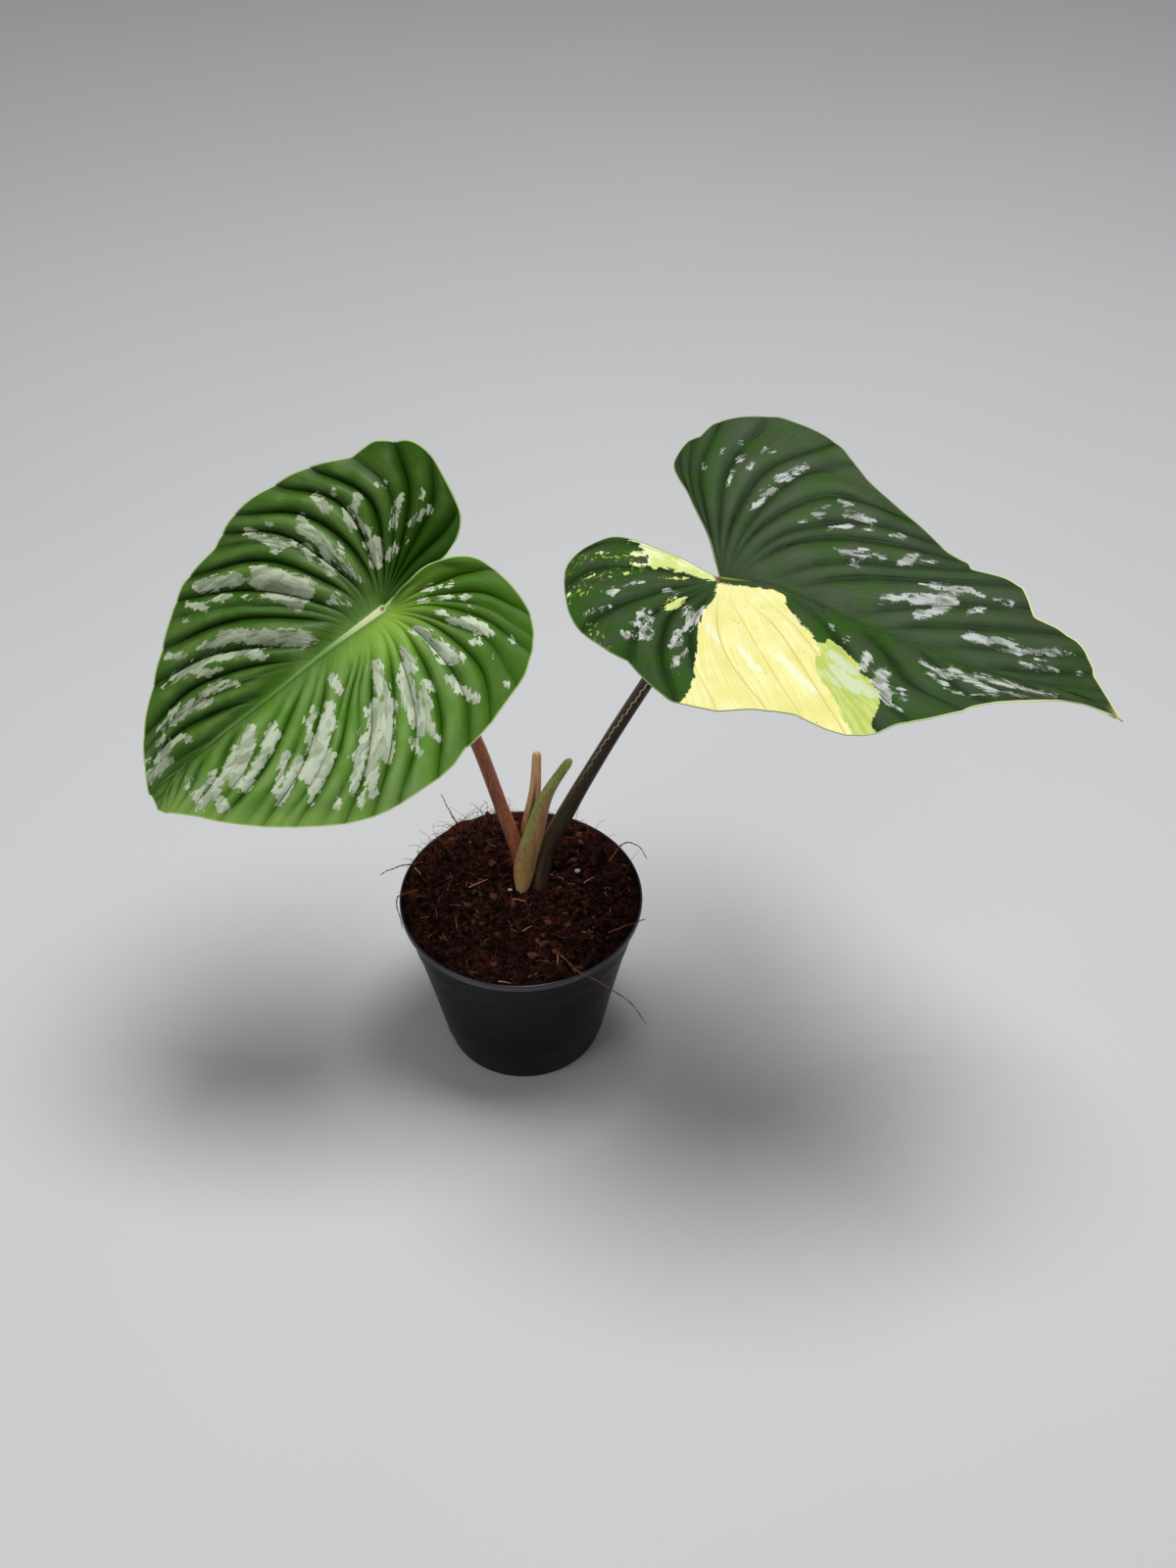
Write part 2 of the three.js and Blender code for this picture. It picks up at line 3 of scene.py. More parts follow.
import bpy
import numpy as np
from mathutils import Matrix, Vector


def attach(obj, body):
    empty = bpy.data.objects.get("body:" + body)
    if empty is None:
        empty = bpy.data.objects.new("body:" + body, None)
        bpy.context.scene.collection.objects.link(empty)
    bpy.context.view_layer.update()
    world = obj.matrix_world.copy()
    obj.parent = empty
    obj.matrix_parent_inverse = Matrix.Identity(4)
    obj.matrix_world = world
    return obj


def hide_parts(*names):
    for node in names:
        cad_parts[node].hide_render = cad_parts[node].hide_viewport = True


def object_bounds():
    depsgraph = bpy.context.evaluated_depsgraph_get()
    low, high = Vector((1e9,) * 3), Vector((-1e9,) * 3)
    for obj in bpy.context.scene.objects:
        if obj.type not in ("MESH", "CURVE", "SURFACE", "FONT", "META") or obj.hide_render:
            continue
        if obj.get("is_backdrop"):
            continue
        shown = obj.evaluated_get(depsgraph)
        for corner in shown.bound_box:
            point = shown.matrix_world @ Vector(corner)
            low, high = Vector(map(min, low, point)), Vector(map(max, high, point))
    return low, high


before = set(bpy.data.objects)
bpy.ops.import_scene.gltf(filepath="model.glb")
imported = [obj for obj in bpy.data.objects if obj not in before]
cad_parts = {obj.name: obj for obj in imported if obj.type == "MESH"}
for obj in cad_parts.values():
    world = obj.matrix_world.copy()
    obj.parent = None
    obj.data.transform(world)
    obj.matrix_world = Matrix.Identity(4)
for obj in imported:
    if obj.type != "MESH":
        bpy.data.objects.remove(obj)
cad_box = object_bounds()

# Lengths are in millimetres until a mesh is made. X is to the right, Y away from the viewer, Z up.
MM = 0.001
SHARP_ANGLE = math.radians(50)

# The blades. Plans are in each blade's own plane: u runs from the stalk's junction to the tip, v sideways.
# A vein line starts on the midline and passes two points to end on the margin.
# A reach list holds (place counted in veins, how far out the margin runs).
# A crease is the valley between two pleats: its place counted in veins at four distances out, and its depth.
CREASE_AT = (0.1, 0.3, 0.6, 0.95)
OUTER_CREASES = (-0.6, 9.3)
OUTER_CREASE_DEPTH = 0.4
LEFT = dict(
    name="left", junction=(-57, 15, 262), normal=(-0.06, -0.68, 0.73),
    toward_tip=(-0.745, -0.461, -0.482),
    length=133, midline=[(0, 0), (32, -3), (64, -4.5), (95, -6.5), (113, -7), (133, -1)],
    starts=[0, 1, 2.5, 5, 9, 16, 38, 90, 116],
    minus=[
        [(-17, -1), (-38, 0.5), (-55, -12)], [(-22, -12), (-46, -25), (-57, -48)],
        [(-15, -19), (-29, -40), (-25, -64)], [(-6, -25), (-5, -53), (12, -73)],
        [(8, -29), (23, -53), (48, -68)], [(30, -25), (52, -42), (78, -52)],
        [(59, -20), (85, -30), (113, -29)], [(103, -9.5), (117, -11.5), (129, -11)],
        [(121, -7.5), (126, -8), (131, -7)],
    ],
    plus=[
        [(-14, 0), (-30, 1), (-47, 15)], [(-20, 9), (-38, 24), (-44, 52)],
        [(-14, 23), (-15, 50), (3, 73)], [(3, 28), (13, 54), (31, 75)],
        [(17, 27), (38, 51), (64, 66)], [(33, 22), (58, 41), (88, 50)],
        [(63, 9), (88, 19), (114, 25)], [(102, -1.5), (115, 3.5), (128, 6)],
        [(121, -4), (127, -0.5), (131.5, 2.5)],
    ],
    minus_reach=[
        (0, 1.02), (0.4, 1.08), (0.8, 1.03), (1.15, 0.99), (1.43, 1.02), (1.75, 0.98), (2.2, 1.03),
        (3.2, 1.03), (3.75, 0.98), (4.2, 1.04), (5, 1.05), (6, 1.04), (6.5, 1.03), (7, 1.04), (8, 1.02),
        (9, 1),
    ],
    plus_reach=[
        (0, 1), (0.7, 0.98), (1, 0.99), (1.4, 1.03), (2, 0.975), (2.5, 0.925), (2.75, 0.965),
        (3.5, 0.985), (3.75, 1), (5.5, 1), (6, 0.99), (6.5, 0.98), (7, 1), (9, 1),
    ],
    minus_creases=[
        (0.3, 0.2, 0.1, -0.1, 0.5), (0.9, 0.58, 0.42, 0.1, 0.9), (1.1, 0.85, 0.8, 0.62, 0.8),
        (1.25, 1.2, 1.33, 1.2, 1), (1.45, 1.5, 1.63, 1.72, 0.6), (1.6, 1.85, 2.03, 2.2, 1),
        (1.95, 2.4, 2.52, 2.63, 1), (2.35, 2.83, 3.1, 3.2, 1), (3.3, 3.74, 3.62, 3.5, 1),
        (3.6, 3.88, 3.8, 3.72, 0.4), (3.85, 4.19, 4.12, 4.12, 1), (4.6, 4.7, 4.62, 4.47, 1),
        (4.8, 4.92, 4.85, 4.7, 0.4), (4.98, 5.12, 5.08, 5.07, 1), (5.74, 5.72, 5.6, 5.44, 1),
        (6.0, 6.03, 6.03, 5.98, 1), (6.12, 6.24, 6.3, 6.24, 0.35), (6.5, 6.53, 6.53, 6.5, 0.9),
        (7, 7, 7, 7, 0.5), (7.5, 7.5, 7.5, 7.5, 0.25), (8, 8, 8, 8, 0.2), (8.5, 8.5, 8.5, 8.5, 0.15),
    ],
    plus_creases=[
        (0.35, 0.1, 0, -0.2, 0.6), (1.05, 0.8, 0.66, 0.28, 1), (1.25, 1.17, 1.08, 0.88, 1),
        (1.38, 1.34, 1.28, 1.1, 0.45), (1.52, 1.47, 1.44, 1.24, 0.9), (1.7, 1.88, 1.68, 1.5, 0.8),
        (1.9, 2.1, 2.06, 1.9, 1), (2.3, 2.53, 2.51, 2.45, 0.9), (2.5, 2.9, 2.98, 3.05, 1),
        (3.15, 3.55, 3.52, 3.62, 0.9), (3.55, 4.0, 4.06, 3.98, 0.9), (4.42, 4.71, 4.6, 4.42, 1),
        (4.65, 5.0, 4.86, 4.78, 0.45), (4.85, 5.14, 5.15, 5.15, 0.9), (5.05, 5.27, 5.3, 5.33, 0.3),
        (5.65, 5.58, 5.54, 5.54, 1), (5.78, 5.75, 5.72, 5.76, 0.5), (6.0, 6.0, 5.99, 6.12, 1),
        (6.2, 6.22, 6.25, 6.35, 0.3), (6.73, 6.71, 6.66, 6.75, 0.7), (7.1, 7.1, 7.1, 7.1, 0.4),
        (7.6, 7.6, 7.6, 7.6, 0.25), (8.1, 8.1, 8.1, 8.1, 0.2), (8.6, 8.6, 8.6, 8.6, 0.15),
    ],
    minus_pleat=3.9, plus_pleat=3.3, fold=0.06, droop=0.0009, droop_from=70, lobe_lift=3.4,
    midrib_width=1.7,
)
RIGHT = dict(
    name="right", junction=(89, 3, 288), normal=(0, -0.158, 0.987),
    toward_tip=(0.925, -0.376, -0.06),
    length=176, midline=[(0, 0), (26, 4), (66, -3), (104, -8), (139, -4), (160, 0.5), (176, -3)],
    starts=[0, 1, 2.5, 5, 10, 27, 65, 114, 150],
    minus=[
        [(-25, 5), (-53, 4), (-62, -22)], [(-17, -17), (-33, -37), (-34, -61)],
        [(-6, -28), (-5, -55), (7, -80)], [(11, -27), (25, -50), (43, -71)],
        [(34, -20), (55, -44), (76, -69)], [(50, -16), (73, -36), (99, -51)],
        [(80, -16), (99, -28), (121, -28)], [(126, -10), (139, -10.5), (150, -8)],
        [(157, -0.8), (164, -1.8), (170, -2.6)],
    ],
    plus=[
        [(-12, 19), (-27, 36), (-41, 54)], [(-15, 26), (-28, 52), (-29, 81)],
        [(-4, 32), (0, 63), (22, 85)], [(10, 34), (32, 56), (65, 57)],
        [(27, 30), (60, 40), (94, 44)], [(56, 19), (89, 29), (121, 39)],
        [(93, 7), (121, 16), (148, 25)], [(130, -1), (146, 5), (160, 12)],
        [(157, 0), (163, 2), (169, 4)],
    ],
    minus_reach=[
        (0, 1), (0.25, 1.04), (0.5, 1.06), (0.75, 1.045), (1, 1.01), (1.25, 0.96), (1.5, 0.885),
        (1.75, 0.965), (2, 1.02), (2.5, 1.025), (3, 1), (3.25, 0.985), (3.45, 0.955), (3.75, 1),
        (4.25, 1.025), (4.75, 1), (5, 0.995), (5.7, 1.02), (6, 1), (6.25, 0.97), (6.5, 0.99), (6.8, 1.06),
        (7.2, 1.02), (7.55, 0.93), (8, 1), (9, 1),
    ],
    plus_reach=[
        (0, 1), (0.5, 0.97), (0.75, 0.925), (0.9, 0.98), (1.5, 1.045), (2, 0.99), (2.25, 0.97),
        (2.5, 0.97), (3, 1.03), (3.5, 1.01), (3.75, 0.985), (4.05, 1.01), (4.4, 0.935), (4.7, 1), (5, 1),
        (5.6, 0.9), (5.75, 0.97), (6, 1), (6.5, 1.01), (6.75, 1.02), (7, 1), (9, 1),
    ],
    minus_creases=[
        (0.4, 0.1, 0.1, 0, 0.5), (0.75, 0.5, 0.47, 0.3, 0.8), (1.0, 0.97, 1.02, 0.85, 1),
        (1.4, 1.42, 1.52, 1.5, 0.9), (1.65, 1.72, 1.95, 2.05, 1), (2.2, 2.36, 2.42, 2.5, 0.8),
        (2.65, 2.87, 2.92, 3.05, 1), (3.1, 3.38, 3.45, 3.5, 0.8), (3.6, 3.9, 3.96, 4.0, 1),
        (4.3, 4.44, 4.5, 4.46, 0.9), (5.3, 5.26, 5.1, 4.95, 0.9), (5.99, 5.95, 5.85, 5.72, 1),
        (6.45, 6.42, 6.33, 6.2, 0.7), (6.8, 6.75, 6.7, 6.6, 0.6), (7.3, 7.3, 7.3, 7.3, 0.35),
        (8, 8, 8, 8, 0.25), (8.6, 8.6, 8.6, 8.6, 0.2),
    ],
    plus_creases=[
        (0.2, 0.08, 0.1, 0.3, 0.6), (0.55, 0.5, 0.53, 0.6, 0.8), (1.1, 1.02, 0.98, 0.98, 1),
        (1.45, 1.47, 1.46, 1.4, 0.8), (1.68, 1.9, 1.99, 2.05, 1), (2.3, 2.48, 2.42, 2.34, 0.8),
        (2.5, 2.9, 2.93, 3.0, 1), (3.3, 3.58, 3.56, 3.5, 0.9), (3.65, 3.96, 3.97, 4.0, 1),
        (4.52, 4.57, 4.62, 4.5, 0.8), (4.93, 4.95, 4.96, 4.93, 1), (5.68, 5.6, 5.5, 5.45, 0.9),
        (6.03, 5.98, 5.96, 5.9, 1), (6.48, 6.43, 6.45, 6.45, 0.7), (7, 6.98, 6.95, 6.9, 1),
        (7.5, 7.5, 7.5, 7.5, 0.4), (8.1, 8.1, 8.1, 8.1, 0.3), (8.6, 8.6, 8.6, 8.6, 0.2),
    ],
    minus_pleat=1.4, plus_pleat=1.15, fold=0.16, droop=0.0016, droop_from=90, lobe_lift=0,
    midrib_width=0.6,
)

# Silver splashes on each half: where it starts (out, vein), where it ends (out, vein), half width
LEFT_SILVER_MINUS = [
    (0.55, 1.0, 0.63, 0.83, 1.2), (0.66, 1.03, 0.71, 0.95, 0.8), (0.5, 1.13, 0.54, 1.08, 1),
    (0.42, 1.1, 0.42, 1.12, 0.6), (0.32, 1.6, 0.37, 1.45, 1.6), (0.48, 1.62, 0.61, 1.52, 1.6),
    (0.61, 1.5, 0.65, 1.43, 0.6), (0.72, 1.73, 0.75, 1.67, 0.6), (0.71, 1.86, 0.74, 1.82, 0.4),
    (0.29, 2.22, 0.4, 2.1, 2.8), (0.37, 2.0, 0.39, 2.4, 1.6), (0.46, 2.25, 0.51, 2.4, 1.6),
    (0.55, 2.45, 0.66, 2.2, 1.8), (0.5, 2.6, 0.58, 2.53, 2.1), (0.73, 2.43, 0.77, 2.36, 0.9),
    (0.62, 2.75, 0.74, 2.66, 2), (0.2, 3.1, 0.24, 3.45, 0.8), (0.24, 3.4, 0.33, 3.45, 1.4),
    (0.33, 3.45, 0.43, 3.1, 1.2), (0.39, 3.55, 0.5, 3.38, 2.7), (0.48, 3.4, 0.6, 3.35, 2.7),
    (0.56, 3.4, 0.65, 3.18, 1.8), (0.72, 3.48, 0.77, 3.43, 0.7), (0.3, 3.9, 0.38, 3.78, 1.8),
    (0.45, 3.82, 0.51, 3.7, 1.9), (0.56, 3.73, 0.6, 3.68, 1), (0.61, 3.8, 0.85, 3.55, 2.1),
    (0.59, 3.94, 0.64, 3.91, 0.8), (0.12, 4.15, 0.18, 4.45, 0.8), (0.2, 4.25, 0.2, 4.55, 1.1),
    (0.32, 4.6, 0.6, 4.5, 2.9), (0.35, 4.45, 0.62, 4.33, 3.4), (0.64, 4.45, 0.71, 4.42, 1),
    (0.71, 4.4, 0.9, 4.35, 3.1), (0.33, 4.87, 0.5, 4.7, 2.6), (0.52, 4.74, 0.54, 4.74, 0.7),
    (0.6, 4.72, 0.63, 4.71, 0.7), (0.71, 4.68, 0.79, 4.62, 1.5), (0.81, 4.75, 0.93, 4.55, 1.3),
    (0.88, 4.82, 0.92, 4.78, 1), (0.13, 5.5, 0.2, 5.42, 1.6), (0.18, 5.55, 0.42, 5.5, 3.6),
    (0.45, 5.45, 0.62, 5.33, 3), (0.6, 5.45, 0.73, 5.35, 1.7), (0.83, 5.32, 0.95, 5.2, 1.5),
    (0.3, 5.88, 0.42, 5.78, 2), (0.38, 5.75, 0.56, 5.72, 1.9), (0.5, 5.95, 0.58, 5.9, 1.3),
    (0.58, 5.9, 0.68, 5.75, 2.4), (0.62, 5.65, 0.86, 5.53, 2.2), (0.86, 5.6, 0.93, 5.53, 0.9),
    (0.35, 6.23, 0.46, 6.15, 1.3), (0.46, 6.2, 0.55, 6.2, 1.9), (0.46, 6.35, 0.65, 6.35, 1.2),
    (0.55, 6.27, 0.75, 6.3, 1.8), (0.68, 6.2, 0.78, 6.12, 0.9), (0.8, 6.2, 0.88, 6.12, 1),
    (0.82, 6.35, 0.88, 6.33, 1.1), (0.93, 6.47, 0.98, 6.43, 1.2), (0.42, 6.77, 0.5, 6.75, 0.7),
    (0.5, 6.7, 0.6, 6.62, 1.1), (0.6, 6.63, 0.7, 6.62, 1.5), (0.7, 6.6, 0.85, 6.65, 1.8),
    (0.68, 6.85, 0.97, 6.78, 2.2),
]
LEFT_SILVER_PLUS = [
    (0.31, 0.95, 0.38, 0.82, 1.4), (0.42, 0.85, 0.44, 0.85, 0.8), (0.46, 0.93, 0.51, 0.87, 0.6),
    (0.25, 1.3, 0.29, 1.28, 1.1), (0.37, 1.3, 0.44, 1.23, 1.2), (0.52, 1.22, 0.55, 1.16, 1.5),
    (0.53, 1.38, 0.54, 1.38, 0.8), (0.84, 1.32, 0.86, 1.32, 0.7), (0.33, 1.7, 0.37, 1.62, 1.2),
    (0.39, 1.75, 0.47, 1.68, 1.7), (0.5, 1.63, 0.62, 1.56, 2.8), (0.62, 1.56, 0.7, 1.5, 1),
    (0.54, 1.86, 0.6, 1.78, 1.1), (0.73, 1.7, 0.75, 1.7, 0.7), (0.92, 1.6, 0.94, 1.6, 0.8),
    (0.22, 2.47, 0.29, 2.4, 2.2), (0.3, 2.5, 0.36, 2.45, 1.3), (0.37, 2.45, 0.48, 2.38, 3.3),
    (0.37, 2.56, 0.45, 2.55, 1.1), (0.51, 2.22, 0.53, 2.22, 1.6), (0.53, 2.65, 0.56, 2.57, 1.8),
    (0.6, 2.58, 0.77, 2.28, 1.9), (0.24, 3.2, 0.36, 3.2, 1.8), (0.3, 3.25, 0.32, 3.5, 2.6),
    (0.46, 3.1, 0.5, 3.03, 1.8), (0.5, 3.2, 0.57, 3.15, 2.3), (0.53, 3.37, 0.7, 3.2, 2.2),
    (0.7, 3.2, 0.78, 3.05, 1.1), (0.36, 3.65, 0.5, 3.6, 3.2), (0.5, 3.6, 0.65, 3.4, 2.9),
    (0.68, 3.55, 0.77, 3.42, 1.7), (0.38, 3.8, 0.4, 3.78, 1.6), (0.22, 4.5, 0.36, 4.4, 2.5),
    (0.23, 4.35, 0.24, 4.3, 1.2), (0.34, 4.25, 0.39, 4.2, 1.5), (0.44, 4.15, 0.5, 4.5, 3.6),
    (0.5, 4.25, 0.68, 4.1, 3.2), (0.4, 4.6, 0.55, 4.55, 2.2), (0.55, 4.5, 0.68, 4.45, 2.8),
    (0.65, 4.45, 0.78, 4.3, 3.2), (0.78, 4.3, 0.87, 4.12, 1.8), (0.85, 4.33, 0.91, 4.28, 1.2),
    (0.5, 4.9, 0.6, 4.75, 1.5), (0.55, 4.7, 0.7, 4.68, 2), (0.6, 4.8, 0.82, 4.55, 2.1),
    (0.42, 4.82, 0.44, 4.82, 1.3), (0.62, 4.9, 0.64, 4.88, 1), (0.87, 4.75, 0.89, 4.74, 1.4),
    (0.18, 5.5, 0.27, 5.33, 1.9), (0.33, 5.45, 0.45, 5.35, 2.2), (0.4, 5.42, 0.7, 5.4, 3.6),
    (0.6, 5.22, 0.85, 5.18, 1.7), (0.58, 5.3, 0.75, 5.3, 2.4), (0.33, 5.67, 0.5, 5.6, 1.4),
    (0.37, 5.72, 0.4, 5.7, 1.4), (0.6, 5.6, 0.85, 5.55, 2.1), (0.57, 5.78, 0.8, 5.65, 1.6),
    (0.33, 6.2, 0.5, 6.08, 1.9), (0.4, 6.1, 0.75, 6.1, 2.1), (0.28, 6.47, 0.7, 6.3, 3.3),
    (0.4, 6.55, 0.6, 6.55, 1.9), (0.65, 6.55, 0.9, 6.62, 2.4), (0.8, 6.45, 0.9, 6.2, 2.3),
    (0.55, 6.72, 0.8, 6.82, 1.4), (0.7, 6.95, 0.78, 6.9, 1), (0.45, 7.3, 0.6, 7.2, 0.9),
]
RIGHT_SILVER_MINUS = [
    (0.45, 0.78, 0.48, 0.78, 0.6), (0.52, 0.77, 0.66, 0.8, 1.2), (0.62, 0.87, 0.64, 0.87, 0.5),
    (0.7, 0.93, 0.76, 0.9, 0.9), (0.84, 0.8, 0.92, 0.73, 1), (0.71, 0.73, 0.74, 0.72, 0.6),
    (0.3, 1.17, 0.33, 1.02, 1.2), (0.35, 1.0, 0.35, 1.12, 0.7), (0.5, 1.4, 0.53, 1.38, 0.6),
    (0.54, 1.35, 0.59, 1.36, 1.5), (0.62, 1.47, 0.67, 1.41, 1.2), (0.53, 1.52, 0.6, 1.58, 1.9),
    (0.62, 1.55, 0.7, 1.62, 1.5), (0.6, 1.74, 0.67, 1.72, 1), (0.72, 1.53, 0.8, 1.35, 1.3),
    (0.75, 1.47, 0.82, 1.4, 1), (0.3, 2.0, 0.35, 2.07, 1.2), (0.3, 2.25, 0.38, 2.25, 1.4),
    (0.25, 2.44, 0.36, 2.42, 1.5), (0.36, 2.38, 0.45, 2.28, 1.5), (0.48, 2.18, 0.6, 2.12, 1.7),
    (0.52, 2.27, 0.58, 2.25, 1), (0.58, 2.35, 0.66, 2.3, 0.7), (0.68, 2.22, 0.75, 2.15, 1),
    (0.78, 2.2, 0.8, 2.2, 0.5), (0.4, 2.75, 0.5, 2.85, 1.8), (0.55, 3.15, 0.68, 3.25, 2),
    (0.55, 3.65, 0.75, 3.9, 2), (0.5, 4.85, 0.62, 5.0, 2.6), (0.6, 4.6, 0.75, 4.7, 2.8),
    (0.7, 4.9, 0.8, 4.85, 2.6), (0.62, 4.35, 0.7, 4.4, 1.6), (0.43, 5.58, 0.5, 5.5, 1.5),
    (0.48, 5.5, 0.6, 5.2, 1.7), (0.6, 5.5, 0.7, 5.2, 3), (0.55, 5.3, 0.6, 5.17, 1.7),
    (0.7, 5.25, 0.8, 5.05, 3.4), (0.75, 5.45, 0.84, 5.25, 1.4), (0.8, 5.0, 0.87, 4.97, 1.5),
    (0.9, 5.0, 0.92, 5.05, 1), (0.2, 5.4, 0.25, 5.35, 0.5), (0.3, 5.5, 0.38, 5.3, 0.6),
    (0.37, 6.28, 0.5, 6.35, 1.8), (0.39, 6.5, 0.58, 6.55, 2), (0.58, 6.55, 0.73, 6.55, 1.6),
    (0.4, 6.7, 0.46, 6.98, 1.5), (0.46, 6.98, 0.6, 7.35, 0.8), (0.53, 6.18, 0.66, 6.2, 1.4),
    (0.77, 6.12, 0.85, 6.33, 0.35), (0.45, 6.42, 0.6, 6.4, 0.5), (0.7, 6.65, 0.85, 6.75, 0.5),
]
RIGHT_SILVER_PLUS = [
    (0.71, 1.03, 0.66, 1.12, 0.8), (0.73, 1.28, 0.77, 1.25, 0.7), (0.81, 1.38, 0.82, 1.38, 0.7),
    (0.52, 1.55, 0.6, 1.58, 0.4), (0.68, 1.55, 0.71, 1.58, 1), (0.62, 1.78, 0.68, 1.75, 0.6),
    (0.74, 1.73, 0.78, 1.7, 0.8), (0.75, 1.83, 0.79, 1.8, 0.4), (0.4, 2.25, 0.45, 2.38, 1),
    (0.48, 2.3, 0.54, 2.38, 1.6), (0.61, 2.27, 0.65, 2.35, 2), (0.69, 2.33, 0.77, 2.3, 1.4),
    (0.42, 3.45, 0.45, 3.45, 0.3), (0.66, 3.1, 0.68, 3.23, 1.2), (0.51, 3.3, 0.53, 3.38, 1.1),
    (0.53, 3.23, 0.59, 3.2, 0.5), (0.62, 3.38, 0.63, 3.48, 0.7), (0.66, 3.45, 0.72, 3.48, 1.7),
    (0.49, 3.73, 0.53, 3.68, 0.9), (0.55, 3.68, 0.59, 3.68, 1.3), (0.64, 3.75, 0.69, 3.7, 0.6),
    (0.77, 3.73, 0.82, 3.68, 1.2), (0.4, 4.33, 0.41, 4.38, 0.7), (0.42, 4.38, 0.49, 4.4, 1),
    (0.51, 4.3, 0.55, 4.3, 0.9), (0.48, 4.45, 0.55, 4.4, 0.8), (0.41, 4.6, 0.46, 4.55, 1.1),
    (0.55, 4.48, 0.59, 4.42, 0.8), (0.36, 4.7, 0.4, 4.73, 0.25), (0.62, 4.53, 0.69, 4.45, 1.3),
    (0.7, 4.35, 0.76, 4.25, 1.4), (0.76, 4.42, 0.82, 4.42, 0.6), (0.3, 5.43, 0.42, 5.38, 1.6),
    (0.43, 5.43, 0.61, 5.4, 2.8), (0.34, 5.75, 0.5, 5.62, 2.3), (0.6, 5.08, 0.75, 5.18, 1.6),
    (0.57, 5.05, 0.58, 5.05, 0.4), (0.75, 5.22, 0.79, 5.25, 0.8), (0.61, 5.65, 0.73, 5.53, 1.1),
    (0.84, 5.33, 0.91, 5.38, 0.8), (0.4, 6.23, 0.52, 6.25, 2.2), (0.52, 6.25, 0.6, 6.3, 1.9),
    (0.5, 6.43, 0.59, 6.45, 1.6), (0.6, 6.42, 0.84, 6.4, 1.4), (0.72, 6.45, 0.9, 6.42, 0.6),
    (0.48, 6.75, 0.68, 6.88, 0.8), (0.86, 6.88, 0.88, 6.88, 0.8), (0.62, 6.6, 0.7, 6.6, 0.4),
]
SILVER = {
    ("left", -1): LEFT_SILVER_MINUS, ("left", 1): LEFT_SILVER_PLUS,
    ("right", -1): RIGHT_SILVER_MINUS, ("right", 1): RIGHT_SILVER_PLUS,
}

# The yellow sector, its lime part and the yellow strip at the notch: outlines of (out, vein) on the near half
YELLOW_SECTOR = [
    (0.035, 1.6), (0.07, 2.0), (0.1, 2.25), (0.14, 2.5), (0.3, 2.5), (0.5, 2.52), (0.6, 2.49),
    (0.7, 2.43), (0.8, 2.37), (0.9, 2.25), (1.0, 2.12), (1.1, 2.1), (1.1, 3), (1.1, 4), (1.1, 4.3),
    (1.0, 4.42), (0.94, 4.47), (0.88, 4.72), (0.86, 4.85), (0.8, 5.0), (0.7, 5.13), (0.6, 5.15),
    (0.55, 5.24), (0.4, 5.22), (0.38, 5.02), (0.42, 4.86), (0.42, 4.69), (0.36, 4.74), (0.3, 4.68),
    (0.2, 4.71), (0.13, 4.76), (0.1, 4.85), (0.06, 4.95), (0.035, 4.85), (0.035, 4), (0.035, 3),
    (0.035, 2),
]
LIME_PART = [
    (0.42, 4.69), (0.5, 4.55), (0.53, 4.35), (0.58, 4.2), (0.66, 4.13), (0.8, 4.12), (1.1, 4.05),
    (1.1, 4.6), (0.94, 4.6), (0.9, 5.1), (0.7, 5.3), (0.36, 5.4), (0.36, 5.0),
]
YELLOW_STRIP = [
    (0.04, 0.9), (0.1, 0.65), (0.18, 0.48), (0.3, 0.45), (0.43, 0.43), (0.43, 0.3), (0.51, 0.33),
    (0.51, 0.28), (0.42, 0.22), (0.45, 0.1), (0.5, 0.07), (0.53, 0.12), (0.54, -0.1), (0.04, -0.1),
]
# Yellow flecks, listed as the silver splashes are
YELLOW_FLECKS = [
    (0.3, 1.52, 0.38, 1.62, 2), (0.25, 1.55, 0.28, 1.66, 0.7), (0.31, 1.4, 0.38, 1.42, 0.6),
    (0.33, 0.7, 0.36, 0.7, 0.5), (0.27, 0.72, 0.29, 0.72, 0.5), (0.21, 0.7, 0.24, 0.7, 0.4),
    (0.43, 0.56, 0.48, 0.55, 0.5), (0.53, 0.6, 0.55, 0.62, 0.6), (0.63, 0.63, 0.69, 0.53, 0.6),
    (0.62, 0.3, 0.7, 0.25, 0.5), (0.44, 0.45, 0.52, 0.45, 0.4), (0.73, 0.5, 0.77, 0.48, 0.4),
    (0.9, 0.45, 0.98, 0.36, 0.4), (0.95, 0.5, 1.0, 0.44, 0.4), (0.93, 1.0, 0.96, 0.98, 0.4),
    (0.84, 0.5, 0.88, 0.46, 0.4),
]
# Places where small flecks of yellow are scattered over the green, listed the same way
YELLOW_MOTTLE = [
    (0.5, 0.35, 0.85, 0.12, 4.5), (0.82, 0.55, 1.0, 0.3, 6), (0.9, 0.9, 1.0, 1.2, 4),
    (0.3, 1.45, 0.42, 1.5, 3), (0.2, 0.75, 0.7, 0.6, 2), (0.85, 0.2, 0.98, 0.1, 3),
    (0.45, 0.5, 0.8, 0.42, 3.5),
]

